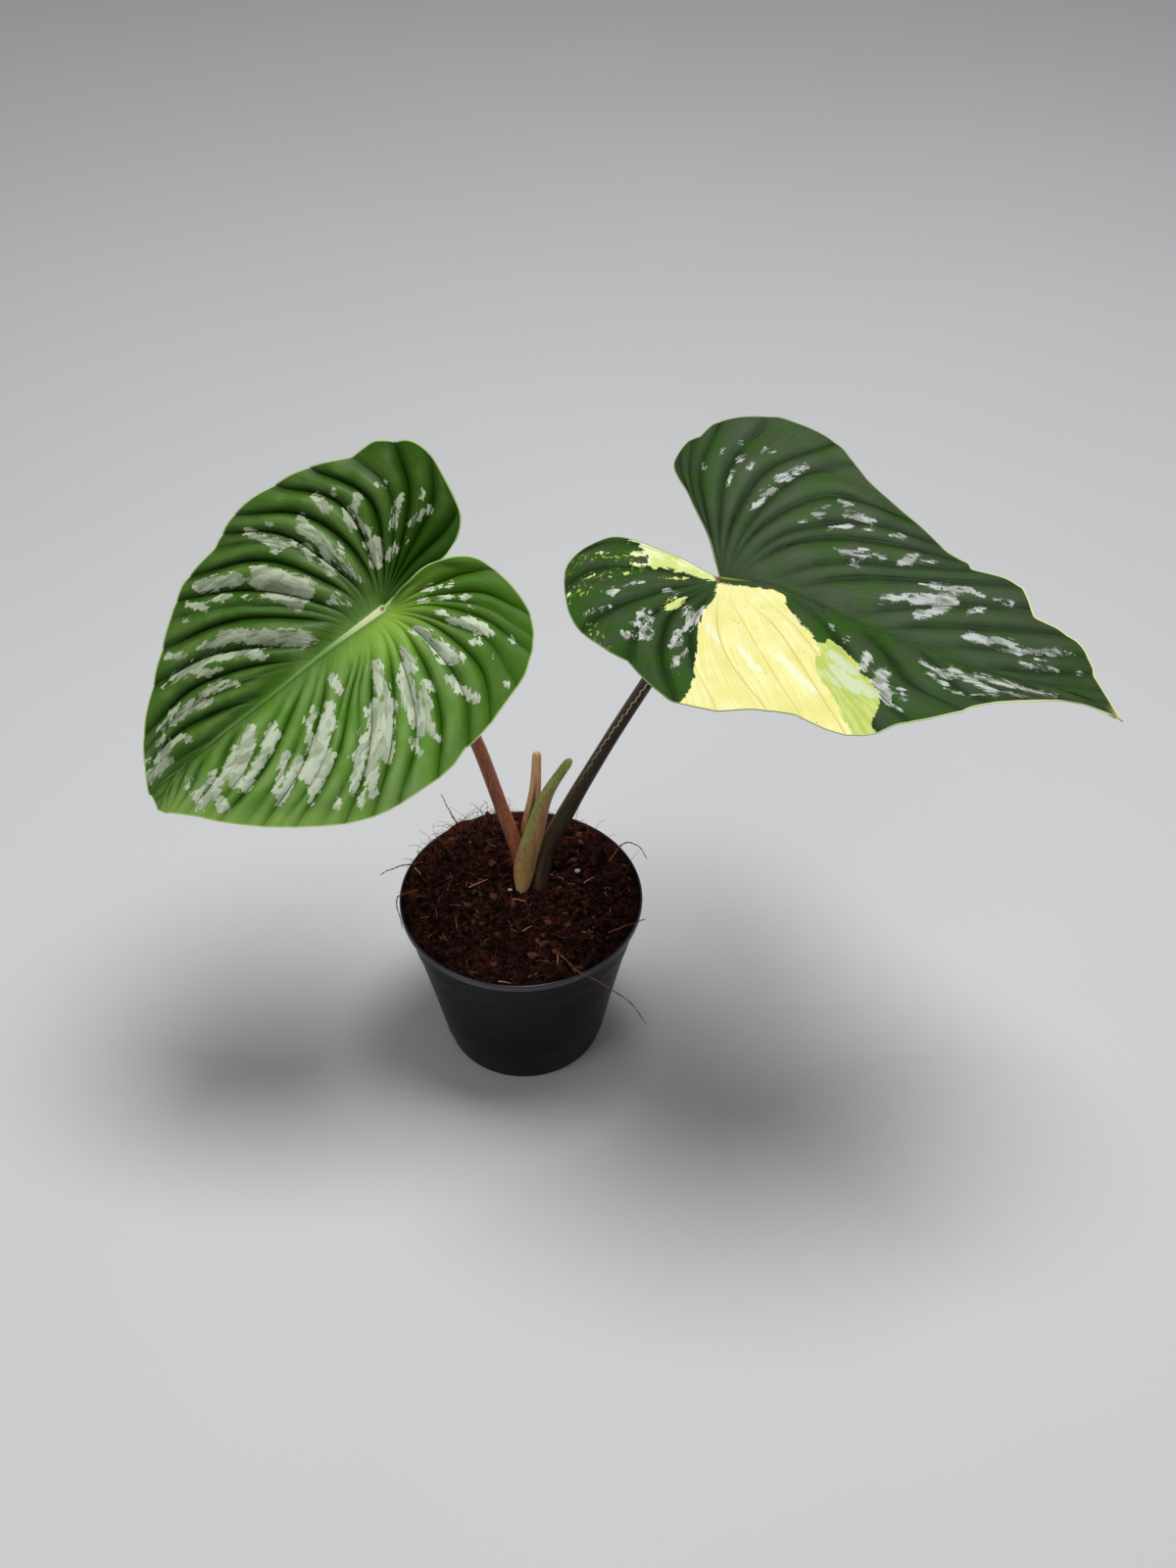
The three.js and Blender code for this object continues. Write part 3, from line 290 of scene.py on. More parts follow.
# Routes of the stalks, the sheaths and the loose fibres, each from its foot up or from the soil out
FOOT = 90.9
FOOT_TOP = 94.4
LEFT_STALK = [
    (1.2, 10.5, FOOT), (1.2, 10.5, FOOT_TOP), (-1.8, 14.8, 111), (-9.9, 23.5, 135), (-20.2, 27.7, 172),
    (-38, 25, 222),
]
RIGHT_STALK = [
    (9.6, 5.2, FOOT), (9.6, 5.4, FOOT_TOP), (12, 15, 109), (23.8, 24.8, 131), (42.6, 29, 170),
    (60.4, 24.5, 212), (79, 11, 262),
]
GREEN_SHEATH = [
    (0.4, 1.6, FOOT), (0.4, 1.8, FOOT_TOP), (2.2, 7.6, 109), (7.2, 11.5, 128), (13.2, 13.6, 150),
    (25, 16, 172),
]
DRY_SHEATH = [(2.6, 19, FOOT), (2.6, 19, FOOT_TOP), (3.4, 20.5, 118), (7.4, 22, 145), (8.8, 24, 169.5)]
FIBRES = {
    "coir_fibre_front": [(20, -40, 95.2), (28, -51, 97), (40, -60, 97.5), (52, -62, 88), (61, -69, 79)],
    "coir_fibre_left": [(-50, 21, 96.2), (-58, 18.5, 97.2), (-65, 15.8, 97), (-71, 13, 95.5)],
    "coir_fibre_right": [(44, 22, 96.3), (51, 31, 99.5), (57.5, 29.5, 100.5), (63, 21, 99)],
    "coir_fibre_back": [(-32, 44, 96.7), (-37, 52, 99.5), (-40, 58, 101), (-43, 63, 104)],
    "coir_fibre_rim_left": [
        (-51, 2, 95.9), (-56.5, -1, 97), (-60.6, -2.8, 96.6), (-61.6, -3.6, 92), (-60.5, -5, 84),
        (-59.5, -6, 77),
    ],
    "coir_fibre_rim_right": [(43, -26, 95.6), (50, -23, 96.6), (57, -20.2, 97), (61.5, -18.5, 97.4)],
}
GRAINS = {"perlite_grain_right": (28, 15), "perlite_grain_left": (-5.6, 1.6)}
# Straws on the soil, from one end to the other
STRAWS = [
    ((-26, 3.7), (-17, 9)), ((14, 12), (21, 8.5)), ((31, 7), (36.5, 11)), ((18.6, -35.7), (18.7, -45.4)),
    ((1.3, -25.3), (5.8, -22)), ((-9.5, -54.5), (-3.5, -56)), ((-54, 17.5), (-50.5, 12.5)),
    ((-4, -4), (2.5, -6)),
]

POT_HEIGHT = 95
RIM_RADIUS = 60
BASE_RADIUS = 40
LIP_WIDTH = 2.2
LIP_HEIGHT = 4
POT_WALL = 1.3
POT_FLOOR = 2
POT_SIDES = 160
POT_WOBBLE = 0.25
GROOVE = 0.35
FLOOR_UNDER = 0.4
FLOOR_MIDDLE = 18.0
DRAIN_HOLES = 8
DRAIN_HOLE_AT = 28.0
DRAIN_HOLE_RADIUS = 4.0


# Numbers and curves
def smooth(low, high, x):
    t = np.clip((np.asarray(x, float) - low) / (high - low), 0, 1)
    return t * t * (3 - 2 * t)


def unit(v):
    v = np.asarray(v, float)
    return v / np.linalg.norm(v, axis=-1, keepdims=True)


def catmull_rom(values, position, before=None, after=None):
    """A value on the Catmull-Rom curve through values, each a number or an array like position."""
    last = len(values) - 1
    first = 2 * values[0] - values[1] if before is None else before
    final = 2 * values[last] - values[last - 1] if after is None else after
    held = np.stack([np.asarray(v, float) + np.zeros_like(position) for v in [first, *values, final]])
    i = np.clip(np.floor(position).astype(int), 0, last - 1)
    f = position - i
    a, b, c, d = (np.take_along_axis(held, (i + k)[None], 0)[0] for k in range(4))
    return b + 0.5 * f * (c - a + f * (2 * a - 5 * b + 4 * c - d + f * (3 * (b - c) + d - a)))


def value_noise(points, scale, seed):
    """Smooth noise from 0 to 1 at points of any dimension, from a hash of its cell's corners."""
    at = np.asarray(points, float) / scale
    low = np.floor(at).astype(np.int64)
    f = at - low
    f = f * f * (3 - 2 * f)
    total = np.zeros(len(at))
    for corner in np.ndindex(*(2,) * at.shape[1]):
        key = np.full(len(at), seed * 7919 + 17, np.int64)
        weight = np.ones(len(at))
        for axis, step in enumerate(corner):
            key = (key * 6364136223846793005 + (low[:, axis] + step) * 1442695040888963407) & 0x7FFFFFFFFFFF
            weight *= f[:, axis] if step else 1 - f[:, axis]
        key ^= key >> 23
        key = (key * 2862933555777941757) & 0x7FFFFFFFFFFF
        total += weight * ((key >> 17) & 0xFFFFF) / 0xFFFFF
    return total


def fractal(points, scale, seed, octaves=3):
    total = np.zeros(len(points))
    weight = 0.0
    for k in range(octaves):
        total += value_noise(points, scale / 2**k, seed + k) / 2**k
        weight += 1 / 2**k
    return total / weight


def route_points(route, steps):
    """Even steps along the centripetal Catmull-Rom curve through a route."""
    p = [np.asarray(q, float) for q in route]
    p = [2 * p[0] - p[1], *p, 2 * p[-1] - p[-2]]
    spans = len(route) - 1
    found = []
    for step in range(steps + 1):
        at = step / steps * spans
        i = min(int(at), spans - 1)
        f = at - i
        a, b, c, d = p[i : i + 4]
        gaps = [max(np.linalg.norm(q - o) ** 0.5, 1e-4) for o, q in ((a, b), (b, c), (c, d))]
        start = ((b - a) / gaps[0] - (c - a) / (gaps[0] + gaps[1]) + (c - b) / gaps[1]) * gaps[1]
        end = ((c - b) / gaps[1] - (d - b) / (gaps[1] + gaps[2]) + (d - c) / gaps[2]) * gaps[1]
        cube = 2 * b - 2 * c + start + end
        square = -3 * b + 3 * c - 2 * start - end
        found.append(b + f * (start + f * (square + f * cube)))
    return np.array(found)


# Meshes
def add_piece(name, points, faces, material, stands_for=(), fields=None):
    """A smooth mesh in millimetres made into a piece of the object, with numbers kept on its points."""
    mesh = bpy.data.meshes.new(name)
    mesh.from_pydata((np.asarray(points, float) * MM).tolist(), [], [tuple(int(i) for i in f) for f in faces])
    for key, values in (fields or {}).items():
        values = np.asarray(values, np.float32)
        kind, part = ("FLOAT_VECTOR", "vector") if values.ndim == 2 else ("FLOAT", "value")
        mesh.attributes.new(key, kind, "POINT").data.foreach_set(part, values.ravel())
    mesh.shade_smooth()
    mesh.set_sharp_from_angle(angle=SHARP_ANGLE)
    mesh.materials.append(material)
    piece = bpy.data.objects.new(name, mesh)
    bpy.context.scene.collection.objects.link(piece)
    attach(piece, "root")
    if stands_for:
        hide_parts(*stands_for)
    return piece


def strips(rows, per_row, closed, first=0):
    """The faces between neighbouring rows of points, closed round when each row is a ring."""
    a = first + np.arange(rows - 1)[:, None] * per_row + np.arange(per_row if closed else per_row - 1)[None]
    across = (np.arange(a.shape[1]) + 1) % per_row - np.arange(a.shape[1])
    b = a + across[None]
    return np.stack([a, b, b + per_row, a + per_row], -1).reshape(-1, 4)


def sweep(centres, section, hint=(0, -1, 0)):
    """Points and faces of a solid along centres. section(t) gives a ring of (side, front) places."""
    rings = []
    forward = unit(np.gradient(centres, axis=0))
    for k, (centre, way) in enumerate(zip(centres, forward)):
        side = unit(np.cross(way, hint))
        front = np.cross(side, way)
        ring = np.asarray(section(k / (len(centres) - 1)))
        rings.append(centre + ring[:, :1] * side + ring[:, 1:] * front)
    per_ring = len(rings[0])
    points = np.concatenate([*rings, rings[0].mean(0)[None], rings[-1].mean(0)[None]])
    faces = strips(len(rings), per_ring, True).tolist()
    foot = len(rings) * per_ring
    last = foot - per_ring
    for i in range(per_ring):
        j = (i + 1) % per_ring
        faces.append((foot, j, i))
        faces.append((foot + 1, last + i, last + j))
    along = np.append(np.repeat(np.linspace(0, 1, len(rings)), per_ring), (0, 1))
    around = np.append(np.tile(np.arange(per_ring) / per_ring, len(rings)), (0, 0))
    return points, faces, along, around


def ring_of(radius, sides):
    turn = np.arange(sides) * 2 * math.pi / sides
    return np.stack([radius * np.cos(turn), -radius * np.sin(turn)], 1)


# Materials
def colour(red, green, blue):
    """A display colour, 0 to 255, as the linear colour that a shader takes."""
    shares = (red / 255, green / 255, blue / 255)
    return (*(c / 12.92 if c <= 0.04045 else ((c + 0.055) / 1.055) ** 2.4 for c in shares), 1.0)


class Shader:
    """A material with short calls that add a node and give back its output."""

    def __init__(self, name, roughness, specular):
        self.material = bpy.data.materials.new(name)
        self.material.use_nodes = True
        self.tree = self.material.node_tree
        self.surface = self.tree.nodes["Principled BSDF"]
        self.surface.inputs["Roughness"].default_value = roughness
        self.surface.inputs["Specular IOR Level"].default_value = specular

    def set(self, name, value):
        self.feed(self.surface.inputs[name], value)

    def feed(self, socket, value):
        if isinstance(value, bpy.types.NodeSocket):
            self.tree.links.new(value, socket)
        else:
            socket.default_value = value

    def node(self, kind, values, output=0, **settings):
        made = self.tree.nodes.new("ShaderNode" + kind)
        for key, value in settings.items():
            setattr(made, key, value)
        for key, value in values.items():
            self.feed(made.inputs[key], value)
        return made.outputs[output]

    def field(self, name, vector=False):
        output = "Vector" if vector else "Fac"
        return self.node("Attribute", {}, output, attribute_type="GEOMETRY", attribute_name=name)

    def place(self):
        return self.node("TexCoord", {}, "Object")

    def math(self, operation, a, b=0.0):
        return self.node("Math", {0: a, 1: b}, operation=operation)

    def times(self, a, b):
        return self.math("MULTIPLY", a, b)

    def plus(self, a, b):
        return self.math("ADD", a, b)

    def step(self, value, low, high, start=0.0, end=1.0):
        values = {"Value": value, "From Min": low, "From Max": high, "To Min": start, "To Max": end}
        return self.node("MapRange", values, interpolation_type="SMOOTHSTEP")

    def stretched(self, vector, x, y, z=1.0):
        return self.node("VectorMath", {0: vector, 1: (x, y, z)}, operation="MULTIPLY")

    def part(self, vector, axis=0):
        return self.node("SeparateXYZ", {0: vector}, axis)

    def swing(self, value, middle, size):
        return self.times(self.math("SUBTRACT", value, middle), size)

    def noise(self, vector, scale, detail=3.0, roughness=0.55):
        values = {"Vector": vector, "Scale": scale, "Detail": detail, "Roughness": roughness}
        return self.node("TexNoise", values)

    def cells(self, vector, scale, output="Color"):
        return self.node("TexVoronoi", {"Vector": vector, "Scale": scale}, output)

    def mix(self, share, a, b):
        """A share of b over a. Three numbers are a display colour."""
        made = self.tree.nodes.new("ShaderNodeMix")
        made.data_type = "RGBA"
        self.feed(made.inputs[0], share)
        for socket, shade in ((6, a), (7, b)):
            plain_colour = isinstance(shade, tuple) and len(shade) == 3
            self.feed(made.inputs[socket], colour(*shade) if plain_colour else shade)
        return made.outputs[2]

    def streaked(self, noise, a, b):
        return self.mix(self.step(noise, 0.3, 0.7), a, b)

    def layers(self, body, *over):
        """The body with every (share, colour) laid over it in turn."""
        for share, shade in over:
            body = self.mix(share, body, shade)
        return body

    def bump(self, height, distance, strength=1.0):
        values = {"Height": height, "Distance": distance, "Strength": strength}
        self.set("Normal", self.node("Bump", values))


# The blades' shape
BLADE_ROWS = 288
BLADE_COLUMNS = 60
COLUMN_CROWDING = 1.3
LAST_RIB = 8.985
BLADE_THICKNESS = 0.55
RIM_THICKNESS = 0.28
KEEL = 1.5
VEIN_UNDER = 0.45
PLEAT_SPACING = 11
LOBE_DROOP = 0.0006
LOBE_LIFT_WIDTH = 28
MIDRIB_RISE = 0.5
MIDRIB_FADES = 60
SWAY = 1.6
SWAY_SCALE = 26
RUFFLE = 3.0
RUFFLES_PER_VEIN = 1.9
CALM_TIP = 32
CLEFT_CURL = 2.6
STRIP_SPREAD = 0.5
# What a blade's material reads from its points, one number each
LEAF_FIELDS = ("silver", "yellow", "lime", "mottle", "crease", "crease_depth", "rim", "middle", "arch")


def midline_at(plan, u):
    known = [p[0] for p in plan["midline"]]
    return catmull_rom([p[1] for p in plan["midline"]], np.interp(u, known, np.arange(len(known))))


def plan_point(plan, side, rib, r):
    """The place (u, v) in a blade's plane of a place counted in veins and in parts of the way out."""
    half = plan["minus" if side < 0 else "plus"]
    reach = np.array(plan["minus_reach" if side < 0 else "plus_reach"])
    tip = (plan["length"], plan["midline"][-1][1])
    feet = midline_at(plan, np.array(plan["starts"], float))
    veins = [[(s, foot), *line] for s, foot, line in zip(plan["starts"], feet, half)]
    veins.append([tip] * 4)
    rib = np.asarray(rib, float)
    r = np.asarray(r, float)
    r = r * (1 + (np.interp(rib, reach[:, 0], reach[:, 1]) - 1) * smooth(0.3, 1, r))
    place = []
    for axis in (0, 1):
        lines = [catmull_rom([p[axis] for p in vein], 3 * r, None, veins[1][3][axis] if k == 0 else None)
                 for k, vein in enumerate(veins)]
        before = catmull_rom([p[axis] for p in veins[0]], 2 * r, None, veins[1][3][axis])
        place.append(catmull_rom(lines, rib, before))
    return place


def crease_lines(plan, side, r, first, last):
    """The place in veins of every crease at a distance out, between a first and a last line."""
    creases = plan["minus_creases" if side < 0 else "plus_creases"]
    at = np.interp(r, CREASE_AT, range(len(CREASE_AT)))
    lines = np.stack([first + 0 * at, *(catmull_rom(c[:4], at) for c in creases), last + 0 * at])
    for k in range(1, len(lines) - 1):
        lines[k] = np.clip(lines[k], lines[k - 1] + 0.03, last - 0.03 * (len(lines) - 1 - k))
    return lines


def creases_near(plan, side, rib, r):
    """The creases on either side of each place: where they are, how deep, and a sign that alternates."""
    creases = plan["minus_creases" if side < 0 else "plus_creases"]
    lines = crease_lines(plan, side, r, *OUTER_CREASES)
    depths = np.array([OUTER_CREASE_DEPTH, *(c[4] for c in creases), OUTER_CREASE_DEPTH])
    below = np.clip((lines <= rib[None] + 1e-9).sum(0) - 1, 0, len(lines) - 2)
    low = np.take_along_axis(lines, below[None], 0)[0]
    high = np.take_along_axis(lines, below[None] + 1, 0)[0]
    return low, high, depths[below], depths[below + 1], np.where(below % 2 == 0, 1, -1)


def rib_grid(plan, side, outs):
    """Rows that run along the creases away from the midline, and evenly beside it."""
    lines = crease_lines(plan, side, outs, 0.0, LAST_RIB)
    rows = np.arange(BLADE_ROWS + 1)
    marks = np.round(lines.mean(1) / LAST_RIB * BLADE_ROWS)
    for k in range(1, len(marks) - 1):
        marks[k] = max(marks[k], marks[k - 1] + 4)
    even = rows / BLADE_ROWS * LAST_RIB
    share = smooth(0, 0.14, outs)
    columns = [even + (np.interp(rows, marks, line) - even) * s for line, s in zip(lines.T, share)]
    return np.stack(columns, 1)


def distance_to_lines(u, v, line_u, line_v):
    """The distance from every place (u, v) to a run of line pieces."""
    best = np.full(u.size, 1e9)
    pu, pv = u.ravel(), v.ravel()
    for au, av, bu, bv in zip(line_u[:-1], line_v[:-1], line_u[1:], line_v[1:]):
        du, dv = bu - au, bv - av
        t = np.clip(((pu - au) * du + (pv - av) * dv) / max(du * du + dv * dv, 1e-9), 0, 1)
        best = np.minimum(best, (pu - au - t * du) ** 2 + (pv - av - t * dv) ** 2)
    return np.sqrt(best).reshape(u.shape)


def splash_field(plan, side, splashes, u, v):
    """How far inside a splash each place is, in millimetres, negative outside."""
    inside = np.full(u.shape, -9.0)
    for r0, rib0, r1, rib1, width in splashes:
        ends = plan_point(plan, side, np.array([rib0, rib1]), np.array([r0, r1]))
        inside = np.maximum(inside, width - distance_to_lines(u, v, ends[0], ends[1]))
    return inside


def outline_field(plan, side, outline, u, v):
    """How far inside a closed outline each place is, in millimetres, negative outside."""
    corners = np.array([*outline, outline[0]], float)
    at = np.linspace(0, len(outline), 5 * len(outline) + 1)
    rs, ribs = (np.interp(at, np.arange(len(corners)), corners[:, k]) for k in (0, 1))
    lu, lv = plan_point(plan, side, ribs, rs)
    crossings = np.zeros(u.shape, int)
    for au, av, bu, bv in zip(lu[:-1], lv[:-1], lu[1:], lv[1:]):
        spans = (av > v) != (bv > v)
        crossings += spans & (u < au + (v - av) * (bu - au) / (bv - av if bv != av else 1e-9))
    return np.where(crossings % 2 == 1, 1, -1) * distance_to_lines(u, v, lu, lv)


def blade_half(plan, side):
    """One half of a blade on a grid: plan places, height and the numbers its material uses."""
    outs = (np.arange(BLADE_COLUMNS + 1) / BLADE_COLUMNS) ** COLUMN_CROWDING
    rib = rib_grid(plan, side, outs)
    r = outs[None] + 0 * rib
    u, v = plan_point(plan, side, rib, r)
    nudge = 0.01
    u_rib, v_rib = ((b - a) / nudge for a, b in zip((u, v), plan_point(plan, side, rib + nudge, r)))
    u_out, v_out = ((b - a) / nudge for a, b in zip((u, v), plan_point(plan, side, rib, r + nudge)))
    per_vein = np.abs(u_rib * v_out - v_rib * u_out) / np.maximum(np.hypot(u_out, v_out), 1e-6)
    low, high, low_depth, high_depth, sign = creases_near(plan, side, rib, r)
    part = np.clip((rib - low) / (high - low), 0, 1)
    spacing = (high - low) * per_vein
    arch = np.sin(np.pi * part) ** 0.85
    depth = low_depth + (high_depth - low_depth) * part
    before_tip = smooth(0, CALM_TIP, plan["length"] - u)
    calm = 0.3 + 0.7 * before_tip
    pleated = smooth(0.03, 0.3, r) * (1 - 0.55 * smooth(0.72, 1, r))
    pleat = plan["minus_pleat" if side < 0 else "plus_pleat"]
    pleats = pleat * np.clip(spacing / PLEAT_SPACING, 0, 1.3) ** 0.8 * (1 - depth * (1 - arch)) * pleated
    pleats = pleats * calm
    fold = plan["fold"] * (np.hypot(v, 5) - 5)
    droop = plan["droop"] * np.maximum(0, u - plan["droop_from"]) ** 2
    droop = droop + LOBE_DROOP * np.minimum(0, u) ** 2
    lift = side * plan["lobe_lift"] * smooth(2, 15, -u) * np.exp(-((v / LOBE_LIFT_WIDTH) ** 2))
    flat = np.stack([u.ravel(), v.ravel()], 1)
    sway = (fractal(flat, SWAY_SCALE, 3) - 0.5).reshape(u.shape) * SWAY * smooth(0.1, 0.5, r) * before_tip
    margin = np.stack([rib.ravel() * RUFFLES_PER_VEIN, np.full(rib.size, side * 5.0)], 1)
    ruffle = (value_noise(margin, 1, 9) - 0.5).reshape(u.shape) * RUFFLE
    ruffle = ruffle * smooth(0.72, 1, r) ** 2 * before_tip
    beside = np.abs(v - midline_at(plan, u))
    middle = np.where(u > 0, beside, np.hypot(u, v - midline_at(plan, 0 * u)))
    narrowing = 0.16 + 0.84 * np.exp(-np.maximum(u, 0) / MIDRIB_FADES * 1.3)
    middle_width = plan["midrib_width"] * narrowing
    raised = MIDRIB_RISE * np.sqrt(np.clip(1 - (middle / (middle_width + 0.4)) ** 2, 0, 1))
    curl = CLEFT_CURL * smooth(0.4, 0, rib) * smooth(0.08, 0.3, r) * (1 - smooth(0.7, 1, r))
    curl = curl if plan["name"] == "left" and side > 0 else 0 * curl
    edge_u = np.concatenate([u[0, :-1], u[:, -1]])
    edge_v = np.concatenate([v[0, :-1], v[:, -1]])
    nearest = np.where(part < 0.5, low_depth, high_depth)
    half = dict(
        u=u, v=v, rim=distance_to_lines(u, v, edge_u, edge_v), middle=middle_width - middle,
        crease=sign * np.sin(np.pi * part) * spacing / math.pi,
        crease_depth=nearest * smooth(0.04, 0.34, r) * calm,
        height=fold - droop + lift + pleats + sway + ruffle + raised + curl,
        arch=arch * pleated + 0.6 * (1 - pleated), grain_x=rib * 12, grain_y=side * (r * 75 + 4),
        silver=splash_field(plan, side, SILVER[plan["name"], side], u, v),
    )
    yellow = lime = mottle = np.full(u.shape, -9.0)
    if plan["name"] == "right" and side < 0:
        strip = outline_field(plan, side, YELLOW_STRIP, u, v) + STRIP_SPREAD
        yellow = np.maximum(outline_field(plan, side, YELLOW_SECTOR, u, v), strip)
        yellow = np.maximum(yellow, splash_field(plan, side, YELLOW_FLECKS, u, v))
        lime = outline_field(plan, side, LIME_PART, u, v)
        mottle = splash_field(plan, side, YELLOW_MOTTLE, u, v)
    half.update(yellow=yellow, lime=lime, mottle=mottle)
    return half


def blade_grid(plan):
    """Both halves side by side, sharing the midline."""
    minus, plus = blade_half(plan, -1), blade_half(plan, 1)
    return {key: np.concatenate([minus[key][:, :0:-1], plus[key]], 1) for key in plus}


def blade_piece(plan, node, material):
    grid = blade_grid(plan)
    normal = unit(plan["normal"])
    along = np.asarray(plan["toward_tip"], float)
    along = unit(along - normal * (along @ normal))
    across = np.cross(normal, along)
    upper = np.asarray(plan["junction"], float) + (
        grid["u"][..., None] * along + grid["v"][..., None] * across + grid["height"][..., None] * normal
    )
    facing = np.cross(np.gradient(upper, axis=0), np.gradient(upper, axis=1))
    facing = unit(facing + 1e-12)
    facing *= np.sign((facing * normal).sum(-1, keepdims=True))
    thickness = RIM_THICKNESS + (BLADE_THICKNESS - RIM_THICKNESS) * smooth(0, 7, grid["rim"])
    keel = KEEL * np.exp(-((np.maximum(grid["middle"] * -1 + 1.4, 0) / 2.2) ** 2))
    keel = keel * smooth(0, 14, grid["rim"])
    veins_under = VEIN_UNDER * np.exp(-((grid["crease"] / 0.9) ** 2)) * grid["crease_depth"]
    veins_under = veins_under * smooth(0, 9, grid["rim"])
    lower = upper - facing * (thickness + keel + veins_under)[..., None]
    rows, columns = grid["u"].shape
    count = rows * columns
    points = np.concatenate([upper.reshape(-1, 3), lower.reshape(-1, 3)])
    top = strips(rows, columns, False)
    bottom = strips(rows, columns, False, count)[:, ::-1]
    far, last = columns - 1, rows - 1
    loop = np.concatenate([
        np.arange(columns), np.arange(1, rows) * columns + far, last * columns + np.arange(far - 1, -1, -1),
        np.arange(last - 1, 0, -1) * columns,
    ])
    after = np.roll(loop, -1)
    side = np.stack([after, loop, loop + count, after + count], 1)
    faces = np.concatenate([top, bottom, side])
    middle = rows // 2 * columns + columns // 4
    a, b, c = (upper.reshape(-1, 3)[i] for i in top[middle][:3])
    if np.cross(b - a, c - a) @ normal < 0:
        faces = faces[:, ::-1]
    fields = {key: np.tile(grid[key].ravel(), 2) for key in LEAF_FIELDS}
    for key, pair in (("grain", ("grain_x", "grain_y")), ("flat", ("u", "v"))):
        place = np.stack([grid[pair[0]], grid[pair[1]], 0 * grid["u"]], -1).reshape(-1, 3)
        fields[key] = np.tile(place, (2, 1))
    fields["under"] = np.repeat([0.0, 1.0], count)
    return add_piece(node + "_leaf", points, faces, material, [node], fields)


# The blades' materials
def leaf_material(plan, minus_colours, plus_colours, gloss, crumble, silver_trim):
    """The body and the silver splashes of a blade, and the noises that the rest of its finish uses.

    The colours of each half are its deep, light, valley and vivid green, and its dim and bright silver; the
    light green on the pleat crests is a painted sheen, the valley green painted shade down the creases.
    """
    s = Shader(plan["name"] + "_leaf", 0.4, gloss)
    s.grain = s.field("grain", True)
    s.flat = s.field("flat", True)
    s.crease = s.math("ABSOLUTE", s.field("crease"))
    s.cut = s.field("crease_depth")
    s.away = s.node("VectorMath", {0: s.flat}, 1, operation="LENGTH")
    s.half = s.step(s.part(s.flat, 1), -10.0, 6.0)
    colours = [s.mix(s.half, a, b) for a, b in zip(minus_colours, plus_colours)]
    deep, light, valley, vivid, silver_dim, silver_bright = colours
    # fine veins that run beside the main ones, soft clouds, and blocks with straight ends along the veins
    s.fine = s.noise(s.stretched(s.grain, 1.5, 0.05), 1.0, 4.0, 0.6)
    s.cloud = s.noise(s.flat, 0.07, 3.0)
    blocks = s.cells(s.stretched(s.grain, 1.2, 0.3), 1.0)
    small = s.cells(s.stretched(s.grain, 3.0, 0.9), 1.0)
    ragged = s.noise(s.stretched(s.grain, 0.5, 0.2), 1.0, 1.0)
    crumbs = s.noise(s.stretched(s.grain, 5.0, 1.6), 1.0, 2.0, 0.7)
    s.torn = s.plus(s.swing(blocks, 0.5, 2.4), s.swing(small, 0.5, 1.2))
    s.torn = s.plus(s.torn, s.swing(ragged, 0.5, 1.2))
    # the tone leans to the light green on the pleat crests (arch), a painted sheen on the ridges; the clouds
    # and fine veins are the leaf's own tone
    tone = s.plus(s.times(s.cloud, 0.5), s.times(s.fine, 0.55))
    tone = s.plus(s.times(s.field("arch"), 0.5), tone)
    blotch = s.plus(s.noise(s.flat, 0.055, 3.0), s.times(s.fine, 0.3))
    blotch = s.times(s.step(blotch, 0.58, 0.78), s.step(s.away, 8.0, 50.0, 0.2, 0.75))
    # painted shade: a darker valley green down each crease
    valley_shade = s.times(s.step(s.crease, 0.4, 3.4, 0.6, 0.0), s.cut)
    s.body = s.mix(s.step(tone, 0.46, 1.12), deep, light)
    s.body = s.layers(s.body, (blotch, vivid), (valley_shade, valley))
    # silver splashes, crumbled at the edge, with a few green threads and cut by the creases
    inside = s.plus(s.plus(s.field("silver"), s.torn), s.swing(crumbs, silver_trim, crumble))
    threads = s.step(s.noise(s.stretched(s.grain, 2.2, 0.14), 1.0, 2.0), 0.3, 0.34, 0.75, 1.0)
    s.splash = s.times(s.step(inside, -0.05, 0.1), threads)
    s.splash = s.times(s.splash, s.step(s.crease, 0.1, 0.4, 0.5, 1.0))
    level = s.step(s.noise(s.stretched(s.grain, 0.32, 0.1), 1.0, 1.0), 0.47, 0.5, 0.0, 0.34)
    patches = s.plus(s.plus(level, s.times(blocks, 0.5)), s.times(s.fine, 0.4))
    s.shine = s.mix(s.step(patches, 0.25, 0.95), silver_dim, silver_bright)
    return s


